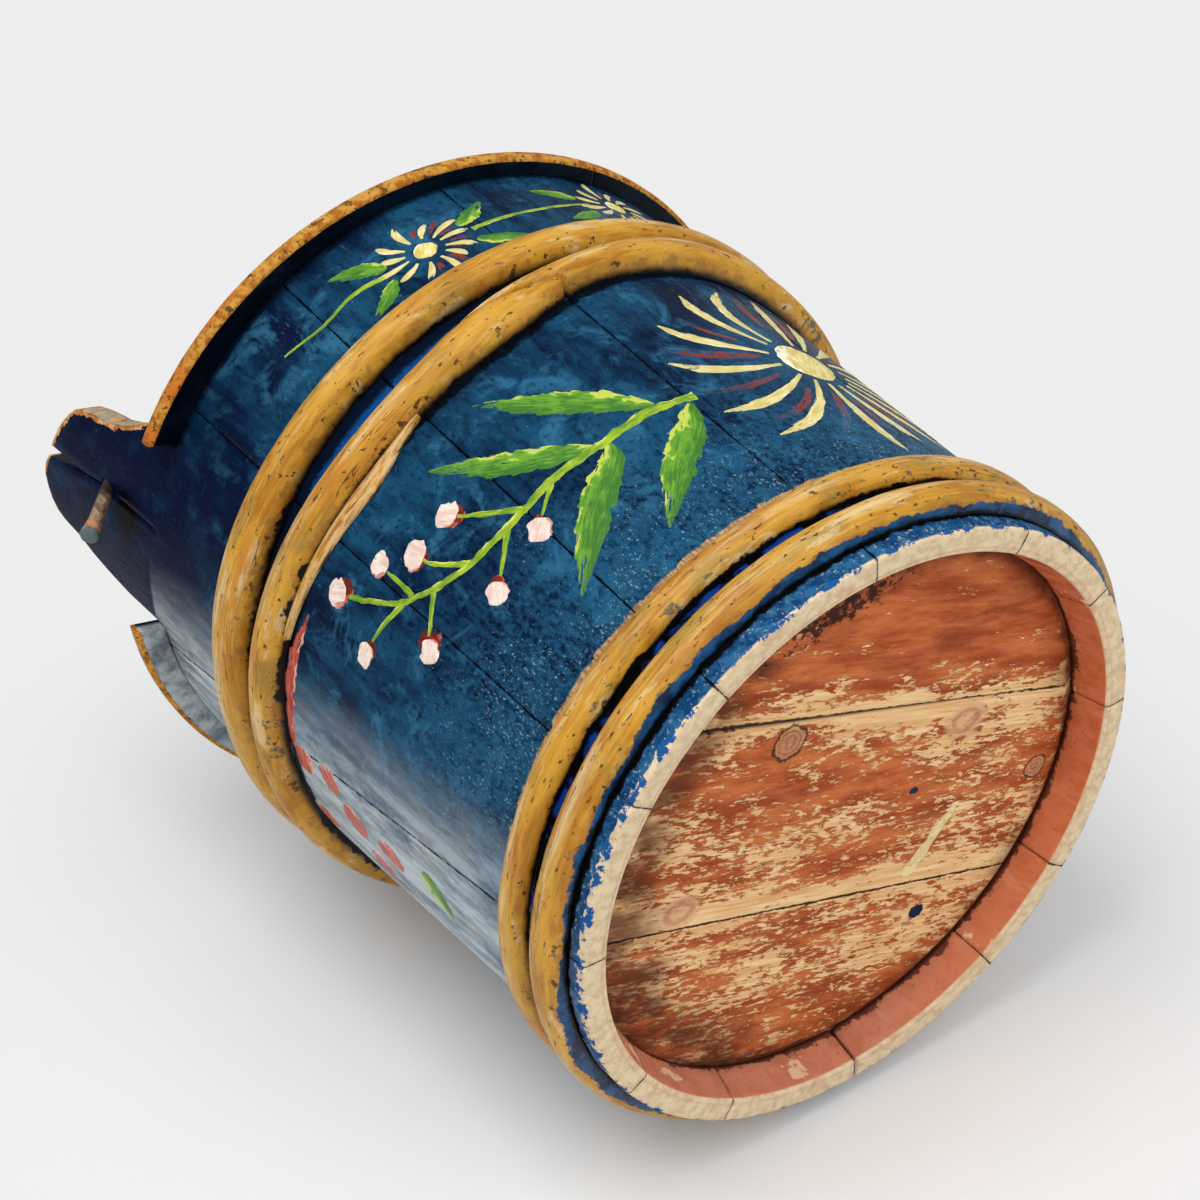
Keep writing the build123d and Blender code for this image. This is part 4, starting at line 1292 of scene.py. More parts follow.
# Marks on the head, by place and size: knots, shaved spots and smears of blue; a streak by its ends
HEAD_KNOTS = [(-0.0331, -0.0373, 0.0068), (0.0855, 0.0031, 0.0050)]
HEAD_SHAVED = [(0.0442, -0.0260, 0.0085), (-0.0641, 0.0173, 0.0080)]
HEAD_BLUES = [(0.0282, -0.0025, 0.0022), (0.0451, 0.0521, 0.0040)]
HEAD_STREAK = [(0.0507, 0.0090), (0.0357, 0.0321)]


def head_axes():
    """Directions along and across the boards' grain."""
    turn = np.radians(HEAD_TURN)
    return np.array([np.cos(turn), np.sin(turn)]), np.array([-np.sin(turn), np.cos(turn)])


def seam_line(turn, distance, along):
    """Distance across the grain of a seam at a place along it."""
    lean = np.radians(turn - HEAD_TURN)
    return distance / np.cos(lean) + along * np.tan(lean)


def chord_grid(low_line, high_line, radius, spacing_along, spacing_across):
    """Net between two lines across a disc; None for a line means the disc's own edge."""
    steep = np.radians(3.0)
    low_edge = -radius * np.cos(steep) if low_line is None else float(low_line(0.0))
    high_edge = radius * np.cos(steep) if high_line is None else float(high_line(0.0))
    rows = max(4, round((high_edge - low_edge) / spacing_across))
    columns = round(2 * radius / spacing_along)
    first, last = np.arccos(np.clip([-low_edge / radius, -high_edge / radius], -1, 1))
    if low_line is None or high_line is None:
        levels = -radius * np.cos(np.linspace(first, last, rows + 1))
    else:
        levels = np.linspace(low_edge, high_edge, rows + 1)
    share = (levels - low_edge) / (high_edge - low_edge)
    u = np.linspace(-1, 1, columns + 1)[None, :]
    across = levels[:, None] + 0 * u
    for _ in range(4):
        half = np.sqrt(np.maximum(radius ** 2 - across ** 2, 1e-9))
        along = u * half
        low = low_edge if low_line is None else low_line(along)
        high = high_edge if high_line is None else high_line(along)
        across = low + (high - low) * share[:, None]
    return np.stack([along, across], axis=-1)


def head_relief(along, across):
    """Depth of the worn grain of the head's outer face, with its knots standing up."""
    ridges = fractal(np.stack([along * 22, across * 330, 0 * along], -1), 71, 3)
    broad = noise_at(along * 12, across * 40, 0, 74)
    depth = 0.00022 + 0.00012 * ridges + 0.00016 * broad
    e_along, e_across = head_axes()
    for x, y, size in HEAD_KNOTS:
        centre = np.array([x, y])
        distance = np.hypot(along - centre @ e_along, (across - centre @ e_across) * 1.15)
        depth = depth - 0.00025 * np.exp(-(distance / size) ** 4)
    return np.clip(depth, 0, 0.0008)


def round_marks(places, marks, stretch=(1, 1)):
    """Soft round marks, 1 at their centres; marks lists the place and size of each."""
    found = [np.exp(-(np.hypot(*((places - np.array([x, y])) * np.array(stretch)).T) / size) ** 2)
             for x, y, size in marks]
    return np.max(found, axis=0)


def head_marks(sheet):
    """Marks for the material: knots, dark seams with a painted shadow near the rim, blue smears, and a
    streak of cream.
    """
    e_along, e_across = head_axes()
    along, across = sheet[:, 0], sheet[:, 1]
    flat = sheet[:, :1] * e_along + sheet[:, 1:2] * e_across
    knot = round_marks(flat, HEAD_KNOTS)
    seam = 0 * along
    for (turn, distance), widening in zip(HEAD_SEAMS, (0.0014, 0.0)):
        width = 0.0005 + widening * smooth(along, -0.020, -0.080)
        offset = across - seam_line(turn, distance, along)
        seam = np.maximum(seam, 0.8 * np.exp(-(offset / width) ** 2))
    reach = np.hypot(along, across)
    azimuth = np.degrees(np.arctan2(flat[:, 1], flat[:, 0]))
    # A painted shadow of the chime, near black, just inside the rim on the -Y side
    seam = np.maximum(seam, 0.64 * smooth(reach, 0.066, 0.086) * bump(azimuth, 252, 30))
    smear = 0.44 * smooth(reach, 0.087, 0.093) * bump(azimuth, 95, 60)
    smear = np.maximum(smear, round_marks(flat, HEAD_BLUES))
    rubbed = 0 * along
    for (turn, distance), bare_side in zip(HEAD_SEAMS, (0.0005, -0.003)):
        offset = across - seam_line(turn, distance, along) - bare_side
        waver = 1 + 0.5 * noise_at(along * 45, across * 45, 0, 121)
        rubbed = np.maximum(rubbed, np.exp(-(offset / (0.0050 * waver)) ** 2))
    start, end = np.array(HEAD_STREAK)
    run = end - start
    share = np.clip((flat - start) @ run / (run @ run), 0, 1)
    offset = np.hypot(*(flat - start - share[:, None] * run).T)
    return {"spot": np.column_stack([knot, seam, smear]), "rubbed": rubbed,
            "shaved": round_marks(flat, HEAD_SHAVED, (0.9, 1.2)),
            "streak": np.exp(-(offset / (0.0016 + 0.0016 * share)) ** 2)}


def build_head():
    """The three boards of the head, each bevelled to a tongue in the groove."""
    middle = (HEAD_LOW + HEAD_HIGH) / 2
    tongue = GROOVE_HEIGHT / 2 - 0.0001
    e_along, e_across = head_axes()
    half = HEAD_SEAM_GAP / 2
    (low_turn, low_distance), (high_turn, high_distance) = HEAD_SEAMS
    lean = np.degrees(np.arctan2(-HEAD_SEAM_OPENING, 2 * HEAD_RIM))

    def low_seam(along):
        return seam_line(low_turn, low_distance - half, along)

    def opened_seam(along):
        bow = 0.0004 * np.exp(-((along + 0.045) / 0.03) ** 2)
        return seam_line(low_turn + lean, low_distance + half + HEAD_SEAM_OPENING / 2, along) + bow

    def high_seam_below(along):
        return seam_line(high_turn, high_distance - half, along)

    def high_seam_above(along):
        return seam_line(high_turn, high_distance + half, along)

    # Rings of the rim from the outer face to the inner one: outset of the round border, and share
    rim = [(0.0, 0.0), (HEAD_SHOULDER - HEAD_FLAT, 0.25), (HEAD_RIM - HEAD_FLAT, 0.26),
           (HEAD_RIM - HEAD_FLAT, 0.60), (HEAD_SHOULDER - HEAD_FLAT, 0.61), (-0.005, 1.0)]
    heights = [HEAD_LOW, middle - tongue, middle - tongue, middle + tongue, middle + tongue, HEAD_HIGH]
    shares = [share for _, share in rim]

    def place(points, share):
        height = np.interp(share, shares, heights)
        depth = head_relief(points[:, 0], points[:, 1]) if share == 0 else 0
        flat = points[:, :1] * e_along + points[:, 1:2] * e_across
        return np.column_stack([flat, np.broadcast_to(height + depth, len(points))])

    boards = [("head_board_1", None, low_seam), ("head_board_2", opened_seam, high_seam_below),
              ("head_board_3", high_seam_above, None)]
    for number, (name, low_line, high_line) in enumerate(boards):
        points, faces = weld([net(chord_grid(low_line, high_line, HEAD_FLAT, 0.0024, 0.0009))])
        # The rings of the rim step outwards along the round border, and not along the seams
        reach = np.hypot(points[:, 0], points[:, 1])[:, None]
        push = points / np.maximum(reach, 1e-9) * smooth(reach, HEAD_FLAT * 0.985, HEAD_FLAT * 0.999)
        solid, made, sheet, shares_of, marks = thick_sheet(points, faces, place, rim, flip=True,
                                                           push=push)
        grain = np.column_stack([sheet[:, 0] + 0.31 * number, sheet[:, 1], shares_of * 0.009])
        piece(name + "_worn", solid, made, "vessel", head_material, "red_paint", (name,),
              grain=grain, share=shares_of, rim=marks, **head_marks(sheet))


# Lid

LID_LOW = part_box("lid_board_2")[0].z
LID_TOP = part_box("lid_board_2")[1].z
LID_OVER_EAR = 0.0105
LID_OVER_SIDE = 0.00618
LID_ROUND = 0.0018
LID_CORNER = 0.0004
LID_SEAM_EDGE = 0.00015
LID_SEAMS = (-0.047, 0.043)
LID_SEAM_GAP = 0.0002
NOTCH_SIDES = (0.0367, 0.0382)
NOTCH_ROOM = 0.001
# Where an end board's net meets the seam, from the oval's end and from the notch's inner corner
OVAL_FOOT, NOTCH_FOOT = 0.060, 0.0425
LID_RIM = [(0.0, 0.0), (0.38, 0.02), (0.71, 0.078), (0.92, 0.164), (1.0, 0.265), (1.0, 0.5),
           (1.0, 0.735), (0.92, 0.836), (0.71, 0.922), (0.38, 0.98), (0.0, 1.0)]
BAR_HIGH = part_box("lid_crossbar")[1]
BAR_CROWN = 0.009
BAR_ROUND = 0.003
# Half width and height of the arch for the fingers
FINGER_GAP = (0.036, 0.020)
TREENAIL_RADIUS = 0.003
TREENAIL_HOLE = 0.00305
TREENAILS = [(side * x, side * y) for x, y in ((0.045, 0.006), (0.072, -0.007), (0.098, 0.007))
             for side in (-1, 1)]


def lid_axes(shrink):
    """Half-axes of the lid's oval, set in by a share of its edge's rounding."""
    radius = float(wall_radius(MOUTH)) - LID_ROUND * shrink
    return radius + LID_OVER_EAR, radius + LID_OVER_SIDE


def end_board_grid(seam, shrink):
    """Net of an end board of the lid at -X, from its seam out to the oval and the notch."""
    a, b = lid_axes(shrink)
    seam = seam + LID_SEAM_GAP / 2 + LID_SEAM_EDGE * shrink
    inset = LID_CORNER * shrink
    core = float(wall_inside(MOUTH)) - NOTCH_ROOM - inset
    upper, lower = NOTCH_SIDES[0] + inset, -NOTCH_SIDES[1] - inset
    border, foot = [], []
    for side, (sign, notch) in enumerate(((1, upper), (-1, -lower))):
        angle = np.linspace(np.arccos(seam / a), np.arcsin(notch / b), 35)
        oval = np.stack([-a * np.cos(angle), sign * b * np.sin(angle)], -1)
        inner = np.stack([-np.sqrt(core ** 2 - notch ** 2), sign * notch])
        step = np.linspace(0, 1, 7)[1:, None]
        wall = oval[-1] + (inner - oval[-1]) * step
        reach = np.concatenate([np.linspace(oval[0, 1] * sign, OVAL_FOOT, 35),
                                np.linspace(OVAL_FOOT, NOTCH_FOOT, 7)[1:]])
        line = np.concatenate([oval, wall])
        foot_line = np.stack([np.full(len(line), -seam), sign * reach], -1)
        if side:
            line, foot_line = line[::-1], foot_line[::-1]
        border.append(line)
        foot.append(foot_line)
    first, last = np.arcsin(upper / core), np.arcsin(lower / core)
    angle = np.linspace(first, last, 29)[1:-1]
    arc = np.stack([-core * np.cos(angle), core * np.sin(angle)], -1)
    arc_foot = np.stack([np.full(len(arc), -seam), np.linspace(NOTCH_FOOT, -NOTCH_FOOT, 29)[1:-1]], -1)
    border = np.concatenate([border[0], arc, border[1]])
    foot = np.concatenate([foot[0], arc_foot, foot[1]])
    share = np.concatenate([[0, 0.012], np.linspace(0.05, 0.93, 20), [0.975, 1.0]])[:, None, None]
    return foot[None] + (border - foot)[None] * share


def middle_board_grid(shrink):
    """Net of the lid's middle board between its two seams."""
    a, b = lid_axes(shrink)
    inset = LID_SEAM_GAP / 2 + LID_SEAM_EDGE * shrink
    left, right = LID_SEAMS[0] + inset, LID_SEAMS[1] - inset
    share = np.concatenate([[0, 0.012], np.linspace(0.05, 0.95, 26), [0.988, 1.0]])
    x = (left + (right - left) * share)[:, None]
    turn = np.linspace(-1, 1, 91)[None, :]
    y = b * np.sqrt(1 - (x / a) ** 2) * np.sin(turn * np.pi / 2)
    return np.stack([x + 0 * y, y], axis=-1)


def lid_place(points, share):
    """A point of a lid board's sheet in the frame, hand-planed a little hollow."""
    place = np.column_stack([points[:, 0] * 90, points[:, 1] * 22, 0 * points[:, 0]])
    depth = 0.00014 + 0.00010 * noise(place, 81) + 0.00004 * noise(place * 5, 82)
    side = 1 - 2 * share
    height = LID_TOP - (LID_TOP - LID_LOW) * share - depth * side
    return np.column_stack([points[:, 0], points[:, 1], height])


def build_lid_board(name, inner, outer, turned):
    """One board of the lid from its net at the flat of the face and at the outer edge."""
    points, quads = net(np.concatenate([inner, outer], axis=-1))
    points, faces = weld([(points, quads)])
    a, b, c = (points[faces[len(faces) // 2][k], :2] for k in range(3))
    clockwise = (b[0] - a[0]) * (c[1] - a[1]) < (b[1] - a[1]) * (c[0] - a[0])
    solid, made, sheet, shares, marks = thick_sheet(points, faces, lid_place, LID_RIM, flip=clockwise,
                                                    push=points[:, 2:4] - points[:, :2])
    if turned:
        solid = solid * np.array([-1, -1, 1])
    oval = np.hypot(sheet[:, 0] / lid_axes(1)[0], sheet[:, 1] / lid_axes(1)[1])
    rim = np.where(oval > 0.9985, marks, 0)
    grain = np.column_stack([sheet[:, 1], sheet[:, 0] + 0.4 * len(name), shares * 0.007])
    board = piece(name + "_worn", solid, made, "lid", lid_material, "blue_paint", (name,),
                  grain=grain, rim=rim)
    bore_nail_holes(board, LID_LOW - 0.01, LID_TOP + 0.01)


def bore_nail_holes(target, low, high):
    """Cut the holes of the treenails between two heights."""
    for x, y in TREENAILS:
        bore(target, Vector((x, y, low)), UP, 0, high - low, TREENAIL_HOLE, 26)


def bar_top(x):
    """Height of the crossbar's crown."""
    reach = BAR_HIGH.x
    radius = (reach ** 2 + BAR_CROWN ** 2) / (2 * BAR_CROWN)
    return BAR_HIGH.z - radius + np.sqrt(radius ** 2 - np.asarray(x) ** 2)


def bar_bottom(x):
    """Height of the crossbar's underside, arched for the fingers."""
    half, rise = FINGER_GAP
    radius = (half ** 2 + rise ** 2) / (2 * rise)
    arch = LID_TOP + rise - radius + np.sqrt(np.maximum(radius ** 2 - np.asarray(x) ** 2, 0))
    return np.where(np.abs(x) < half, np.maximum(arch, LID_TOP), LID_TOP)


def build_bar():
    """The crossbar: a handle hewn from one piece, worn round along its upper edges."""
    width = BAR_HIGH.y
    reach = BAR_HIGH.x
    turn = np.linspace(0, np.pi / 2, 6)
    corner = 0.0006
    flat = np.linspace(-1, 1, 9)
    lower_y = flat * (width - corner)
    side_share = np.linspace(0, 1, 8)
    arc_y = width - BAR_ROUND * (1 - np.cos(turn))
    arc_drop = BAR_ROUND * (1 - np.sin(turn))
    top_y = np.linspace(width - BAR_ROUND, -(width - BAR_ROUND), 10)[1:-1]
    side_y = width + 0 * side_share
    loop_y = np.concatenate([lower_y, side_y, arc_y[1:], top_y, -arc_y[1:][::-1], -side_y])
    drop = np.concatenate([arc_drop[1:], 0 * top_y, arc_drop[1:][::-1]])
    lower = slice(len(lower_y))
    upper = slice(len(lower_y) + len(side_y), len(loop_y) - len(side_y))
    # Places along the bar, in shares of its half length, closest over the arch for the fingers
    runs = np.concatenate([np.linspace(-1, -0.37, 34), np.linspace(-0.36, 0.36, 49),
                           np.linspace(0.37, 1, 34)])
    rings, grains = [], []
    for run in runs:
        x = run * np.sqrt(reach ** 2 - loop_y ** 2)
        top, bottom = bar_top(x), bar_bottom(x)
        side = bottom[0] + corner + (top - BAR_ROUND - bottom - corner)[0] * side_share
        z = np.concatenate([bottom[lower], side, top[upper] - drop, side[::-1]])
        place = np.column_stack([x * 25, loop_y * 160, z * 160])
        centre_z = (top + bottom) / 2
        wear = 0.00025 + 0.00018 * noise(place, 91) + 0.00007 * noise(place * 4, 92)
        inward = np.column_stack([0 * x, -loop_y, centre_z - z])
        inward /= np.linalg.norm(inward, axis=1)[:, None]
        wear = np.where(z < bottom + 0.0004, 0, wear)[:, None]
        rings.append(np.column_stack([x, loop_y, z]) + inward * wear)
        grains.append(np.column_stack([x, loop_y, z]))
    for end, ring in ((0, rings[0]), (1, rings[-1])):
        caps = []
        for scale in (0.94, 0.6, 0.25):
            shrunk = ring.copy()
            middle = ring.mean(axis=0)
            shrunk[:, 1:] = middle[1:] + (ring[:, 1:] - middle[1:]) * scale
            shrunk[:, 0] = np.sign(ring[0, 0]) * (np.sqrt(reach ** 2 - shrunk[:, 1] ** 2) - 0.0002)
            caps.append(shrunk)
        if end:
            rings, grains = rings + caps, grains + caps
        else:
            rings, grains = caps[::-1] + rings, caps[::-1] + grains
    bar = piece("lid_crossbar_worn", np.concatenate(rings), tube_faces(len(rings), len(loop_y)), "lid",
                bar_material, "bare_wood", ("lid_crossbar",), grain=np.concatenate(grains))
    bore_nail_holes(bar, LID_TOP - 0.01, BAR_HIGH.z + 0.01)


def build_treenails():
    """The treenails, pared flush with the crossbar."""
    points, faces, grains = [], [], []
    for x, y in TREENAILS:
        length = float(bar_top(x)) - LID_LOW - 0.00015
        profile = [(0.0001, 0.0026), (0.0004, TREENAIL_RADIUS), (length * 0.5, TREENAIL_RADIUS),
                   (length - 0.0005, TREENAIL_RADIUS), (length - 0.0002, 0.0027), (length, 0.0016)]

        def pared(along, angle, seed=x * 900):
            return 1 - 0.02 * (1 + np.sin(3 * angle + seed)) / 2

        one, made = lathe(profile, Vector((x, y, LID_LOW)), UP, 20, pared)
        faces += [[corner + len(points) for corner in face] for face in made]
        points += one
        grains += [(z, px, py) for px, py, z in one]
    piece("lid_treenails_worn", points, faces, "lid", bar_material, "bare_wood", ("lid_treenails",),
          grain=grains)


def build_lid():
    """The three boards of the lid, the crossbar and its treenails."""
    left, right = LID_SEAMS
    build_lid_board("lid_board_1", end_board_grid(-left, 1), end_board_grid(-left, 0), False)
    build_lid_board("lid_board_2", middle_board_grid(1), middle_board_grid(0), False)
    build_lid_board("lid_board_3", end_board_grid(right, 1), end_board_grid(right, 0), True)
    build_bar()
    build_treenails()


# Locking pegs

def build_peg(name, body, turn, seed):
    """A whittled peg: a round shank in the hole, a flared and faceted head outside it."""
    origin, direction = peg_axis(turn)
    shank_end = PEG_OUTSIDE - PEG_HEAD_LENGTH
    dome = PEG_HEAD_RADIUS * 0.35
    profile = [(-PEG_INSIDE, PEG_RADIUS - 0.0005), (-PEG_INSIDE + 0.0005, PEG_RADIUS)]
    profile += [(along, PEG_RADIUS) for along in np.linspace(-PEG_INSIDE + 0.002, shank_end, 26)]
    flare_end = PEG_OUTSIDE - dome
    for share in np.linspace(0, 1, 12)[1:]:
        radius = PEG_RADIUS + (PEG_HEAD_RADIUS - PEG_RADIUS) * share
        profile.append((shank_end + (flare_end - shank_end) * share, radius))
    for turn_share in np.linspace(0, np.pi / 2, 7)[1:-1]:
        profile.append((flare_end + dome * np.sin(turn_share), PEG_HEAD_RADIUS * np.cos(turn_share)))
    profile.append((PEG_OUTSIDE, PEG_HEAD_RADIUS * 0.12))

    def whittled(along, angle):
        facet = np.cos(np.pi / 6) / np.cos((angle + 0.2 * seed) % (np.pi / 3) - np.pi / 6)
        lump = noise(np.array([along * 240, np.cos(angle), np.sin(angle) + seed]), 101)
        outside = smooth(along, 0.004, 0.008)
        return 1 - outside * (0.55 * (1 - facet) + 0.02 * (1 + float(lump)))

    points, faces = lathe(profile, origin, direction, 30, whittled)
    places = np.array(points)
    along = (places - np.array(origin)) @ np.array(direction)
    grain = np.column_stack([along + seed, places[:, 0], places[:, 1]])
    piece(name + "_worn", points, faces, body, peg_material, "grey_wood", (name,), grain=grain,
          out=along / PEG_OUTSIDE)


# Painted decoration: brush strokes as thin raised shells, placed by azimuth in degrees and height
# in millimetres

STROKE_ACROSS = np.array([-1, -0.86, -0.6, -0.3, 0, 0.3, 0.6, 0.86, 1])
STROKE_STEP = 0.0008
STROKE_SINK = 0.00030
# How far the brush strokes stand proud of the wall
SHADE_LIFT = 0.00005
LEAF_LIFT = 0.00007
PETAL_LIFT = 0.00009
CORE_LIFT = 0.00011
BERRY_LIFT = 0.00013
PAINT_DEPTH = 0.0005


def spots(places):
    """Places on the wall's sheet from azimuths in degrees and heights in millimetres."""
    places = np.array(places, float)
    return on_sheet(places[..., 0], places[..., 1] * MM)


def petal_width(share):
    """Thin at its root, widest in its outer half and pointed."""
    return (0.32 + 0.68 * smooth(share, 0, 0.6)) * np.sqrt(1 - 0.985 * smooth(share, 0.70, 1.0))


def dab_width(share):
    """Blunt at both ends."""
    return np.sqrt(np.clip(1 - np.abs(2 * share - 1) ** 2.6, 0.02, 1))


def stem_width(share):
    """Tapering from its root."""
    return 1 - 0.55 * share


def leaf_width(share):
    """Widest below its middle, with teeth that point to the tip."""
    blade = np.sin(np.pi * np.clip(share, 0, 1) ** 0.78) ** 0.85
    tooth = (share * 6.5) % 1
    return np.maximum(blade * (0.80 + 0.20 * tooth), 0.03)


def ribbon(spine, half_width, shape, seed, lift, ragged=0.14, step=STROKE_STEP):
    """Net of one brush stroke. Columns: place on the sheet, lift, stroke and metric coordinates."""
    rough = curve_through(spine, 60)
    length = float(np.hypot(*np.diff(rough, axis=0).T).sum())
    rows = max(12, round(length / step))
    line = curve_through(spine, rows)
    share = np.linspace(0, 1, rows)
    run = np.gradient(line, axis=0)
    run /= np.hypot(*run.T)[:, None]
    side = np.stack([-run[:, 1], run[:, 0]], axis=-1)
    reach = share * length
    halves = []
    for which in (-1, 1):
        wave = noise_at(reach * 330, 3 * which, seed, 111)
        fine = noise_at(reach * 900, 3 * which, seed, 112)
        halves.append(half_width * shape(share) * (1 + ragged * wave + 0.5 * ragged * fine))
    across = STROKE_ACROSS[None, :]
    half = np.where(across < 0, halves[0][:, None], halves[1][:, None])
    places = line[:, None] + side[:, None] * (across * half)[..., None]
    ridges = noise_at(reach[:, None] * 60, across * half * 2500, seed, 113)
    height = lift * (1 + 0.35 * ridges)
    outer = np.abs(across)
    height = np.where(outer > 0.99, -STROKE_SINK, height * (1 - 0.35 * outer ** 4))
    height[0] = height[-1] = -STROKE_SINK
    extra = np.broadcast_arrays(height, share[:, None], across, seed * 0.173, reach[:, None],
                                across * half, seed * 0.0137)
    return np.concatenate([places, np.stack(extra, axis=-1)], axis=-1)


def paint_place(points, share):
    """A point of a stroke in the frame; its back lies inside the wall."""
    azimuth = sheet_azimuth(points)
    height = points[:, 1]
    radius = wall_radius(height) - wall_relief(azimuth, height) + points[:, 2] * (1 - share)
    return polar(radius - share * PAINT_DEPTH, azimuth, height)


def paint(name, strokes, brush, slot):
    """One piece from several brush strokes."""
    all_points, all_faces, sheets, count = [], [], [], 0
    for grid in strokes:
        points, quads = net(grid)
        solid, made, sheet, _, _ = thick_sheet(points, quads.tolist(), paint_place, [(0, 0), (0, 1)])
        all_points.append(solid)
        sheets.append(sheet)
        all_faces += [[corner + count for corner in face] for face in made]
        count += len(solid)
    sheet = np.concatenate(sheets)
    piece(name, np.concatenate(all_points), all_faces, "vessel", brushes[brush], slot,
          stroke=sheet[:, 3:6], metric=sheet[:, 6:9])


def around(centre, angle, distance):
    """A place at an angle and a distance from another on the sheet."""
    angle = np.radians(angle)
    return centre + np.array([np.cos(angle), np.sin(angle)]) * distance


def ray_stroke(centre, angle, swing, start, end, half_width, shape, seed, lift, bend=2.2):
    """A stroke that runs out from a centre and swings aside towards its end."""
    spine = [around(centre, angle + swing * share ** bend, start + (end - start) * share)
             for share in np.linspace(0, 1, 6)]
    return ribbon(spine, half_width, shape, seed, lift)


def dab(centre, angle, half_length, half_width, seed, lift, ragged=0.16):
    """A round dab of paint, drawn out along an angle."""
    ends = [around(centre, angle, distance) for distance in (-half_length, 0, half_length)]
    return ribbon(ends, half_width, dab_width, seed, lift, ragged, 0.0005)


# The large aster: its centre, its petals by angle of the root, swing to the tip and reach, and its
# red shades by angle, swing, start, end and half width; angles in degrees, lengths in millimetres
ASTER = (285.6, 104.0)
ASTER_PETALS = [
    (71, 0, 57), (113, -22, 51), (130, -15, 51), (160, -15, 52), (190, -20, 54), (218, -16, 59),
    (238, -17, 62), (258, 6, 59), (277, 5, 53), (298, 3, 54), (318, 4, 52), (338, 6, 55), (357, 5, 53),
    (16, 4, 56), (34, 6, 54), (52, 3, 56),
]
ASTER_REDS = [
    (172, -12, 19, 54, 2.9), (203, -12, 22, 54, 1.9), (229, -12, 24, 55, 1.8), (250, -9, 22, 54, 1.7),
    (146, -10, 24, 45, 1.5), (108, -4, 24, 43, 1.6), (88, -7, 24, 52, 2.2), (268, 2, 22, 48, 1.4),
    (287, 2, 20, 50, 1.6), (62, 4, 22, 50, 2.0), (308, 4, 20, 48, 1.6), (25, 3, 20, 48, 1.6),
]
# Small asters in the top band: centre, first angle, petals, reach
SMALL_ASTERS = [((247.4, 215.9), 12, 12, 17.6), ((287.5, 224.4), 20, 12, 17.0)]
# Leaves and stems: the line from the root to the tip, and half the width in millimetres
LEAVES = [
    ([(252.0, 97.0), (246.2, 110.2), (238.7, 126.0), (232.2, 142.4)], 6.4),
    ([(240.0, 95.8), (234.7, 103.1), (227.5, 117.2), (220.2, 136.6)], 5.8),
    ([(256.6, 92.0), (252.6, 81.0), (246.0, 69.5), (237.3, 51.6)], 7.4),
    ([(242.0, 94.0), (239.3, 86.2), (232.7, 76.8), (220.9, 56.4)], 7.6),
    ([(240.8, 217.6), (237.4, 225.4), (232.6, 231.4)], 4.4),
    ([(240.4, 211.6), (237.0, 205.7), (232.9, 200.9)], 3.6),
    ([(254.6, 220.6), (258.3, 224.6), (262.0, 231.0)], 3.8),
    ([(255.2, 210.6), (258.4, 206.0), (263.6, 202.8)], 3.8),
    ([(279.6, 225.6), (276.0, 229.0), (271.6, 232.4)], 3.8),
    ([(281.0, 215.6), (277.4, 211.8), (273.4, 209.2)], 3.6),
    ([(161.0, 85.0), (157.0, 78.0), (153.0, 71.5)], 6.6),
]
STEMS = [
    ([(258.6, 94.0), (249.0, 95.9), (240.6, 95.0), (233.0, 96.3), (226.0, 95.8), (219.8, 96.6),
      (213.9, 98.8), (209.3, 103.3), (205.0, 110.0), (202.0, 116.0), (199.3, 127.0),
      (197.2, 138.0)], 1.5),
    ([(225.6, 96.0), (222.1, 104.0), (219.2, 111.6), (218.0, 115.4)], 1.0),
    ([(221.8, 96.0), (218.0, 89.8), (215.2, 86.0)], 0.9),
    ([(214.2, 98.4), (211.9, 105.3), (210.2, 112.0), (209.7, 116.6)], 0.9),
    ([(204.2, 111.8), (204.6, 120.0), (204.6, 127.4)], 0.9),
    ([(231.5, 96.3), (228.8, 92.2), (226.2, 88.6)], 0.8),
    ([(207.3, 106.0), (203.6, 101.2), (200.8, 98.2)], 0.9),
    ([(202.6, 114.0), (197.4, 118.6), (193.8, 120.4)], 0.9),
    ([(239.6, 215.0), (234.0, 217.7), (226.9, 216.4), (219.3, 220.6)], 0.8),
    ([(256.0, 216.0), (265.5, 217.6), (273.3, 219.2), (281.4, 222.4)], 0.8),
]
STEM_BOLDNESS = 1.45
# Berries: place, and the place on their stem that they are painted out from
BERRIES = [
    ((217.5, 118.8), (218.2, 114.6)), ((213.2, 83.4), (215.4, 86.2)), ((209.4, 120.2), (209.9, 116.0)),
    ((204.5, 131.0), (204.6, 127.0)), ((224.6, 86.0), (226.6, 89.0)), ((199.2, 96.0), (201.0, 98.4)),
    ((191.4, 121.2), (194.0, 120.2)), ((196.3, 143.0), (197.4, 138.4)),
]
# Size of the red bud behind each berry, as a share of the berry's
BUD_SHARES = [0.85, 0.7, 0.8, 0.0, 0.45, 1.15, 0.75, 1.0]
ROSES = [((162.5, 152.8), 5.6), ((163.2, 137.0), 5.6), ((157.0, 126.1), 6.0), ((156.5, 105.6), 6.0),
         ((147.5, 155.1), 5.6), ((149.0, 118.0), 5.6)]
HOOP_SMEAR = [(163.0, 158.4), (172.0, 157.6), (181.0, 156.6), (190.5, 153.0)]


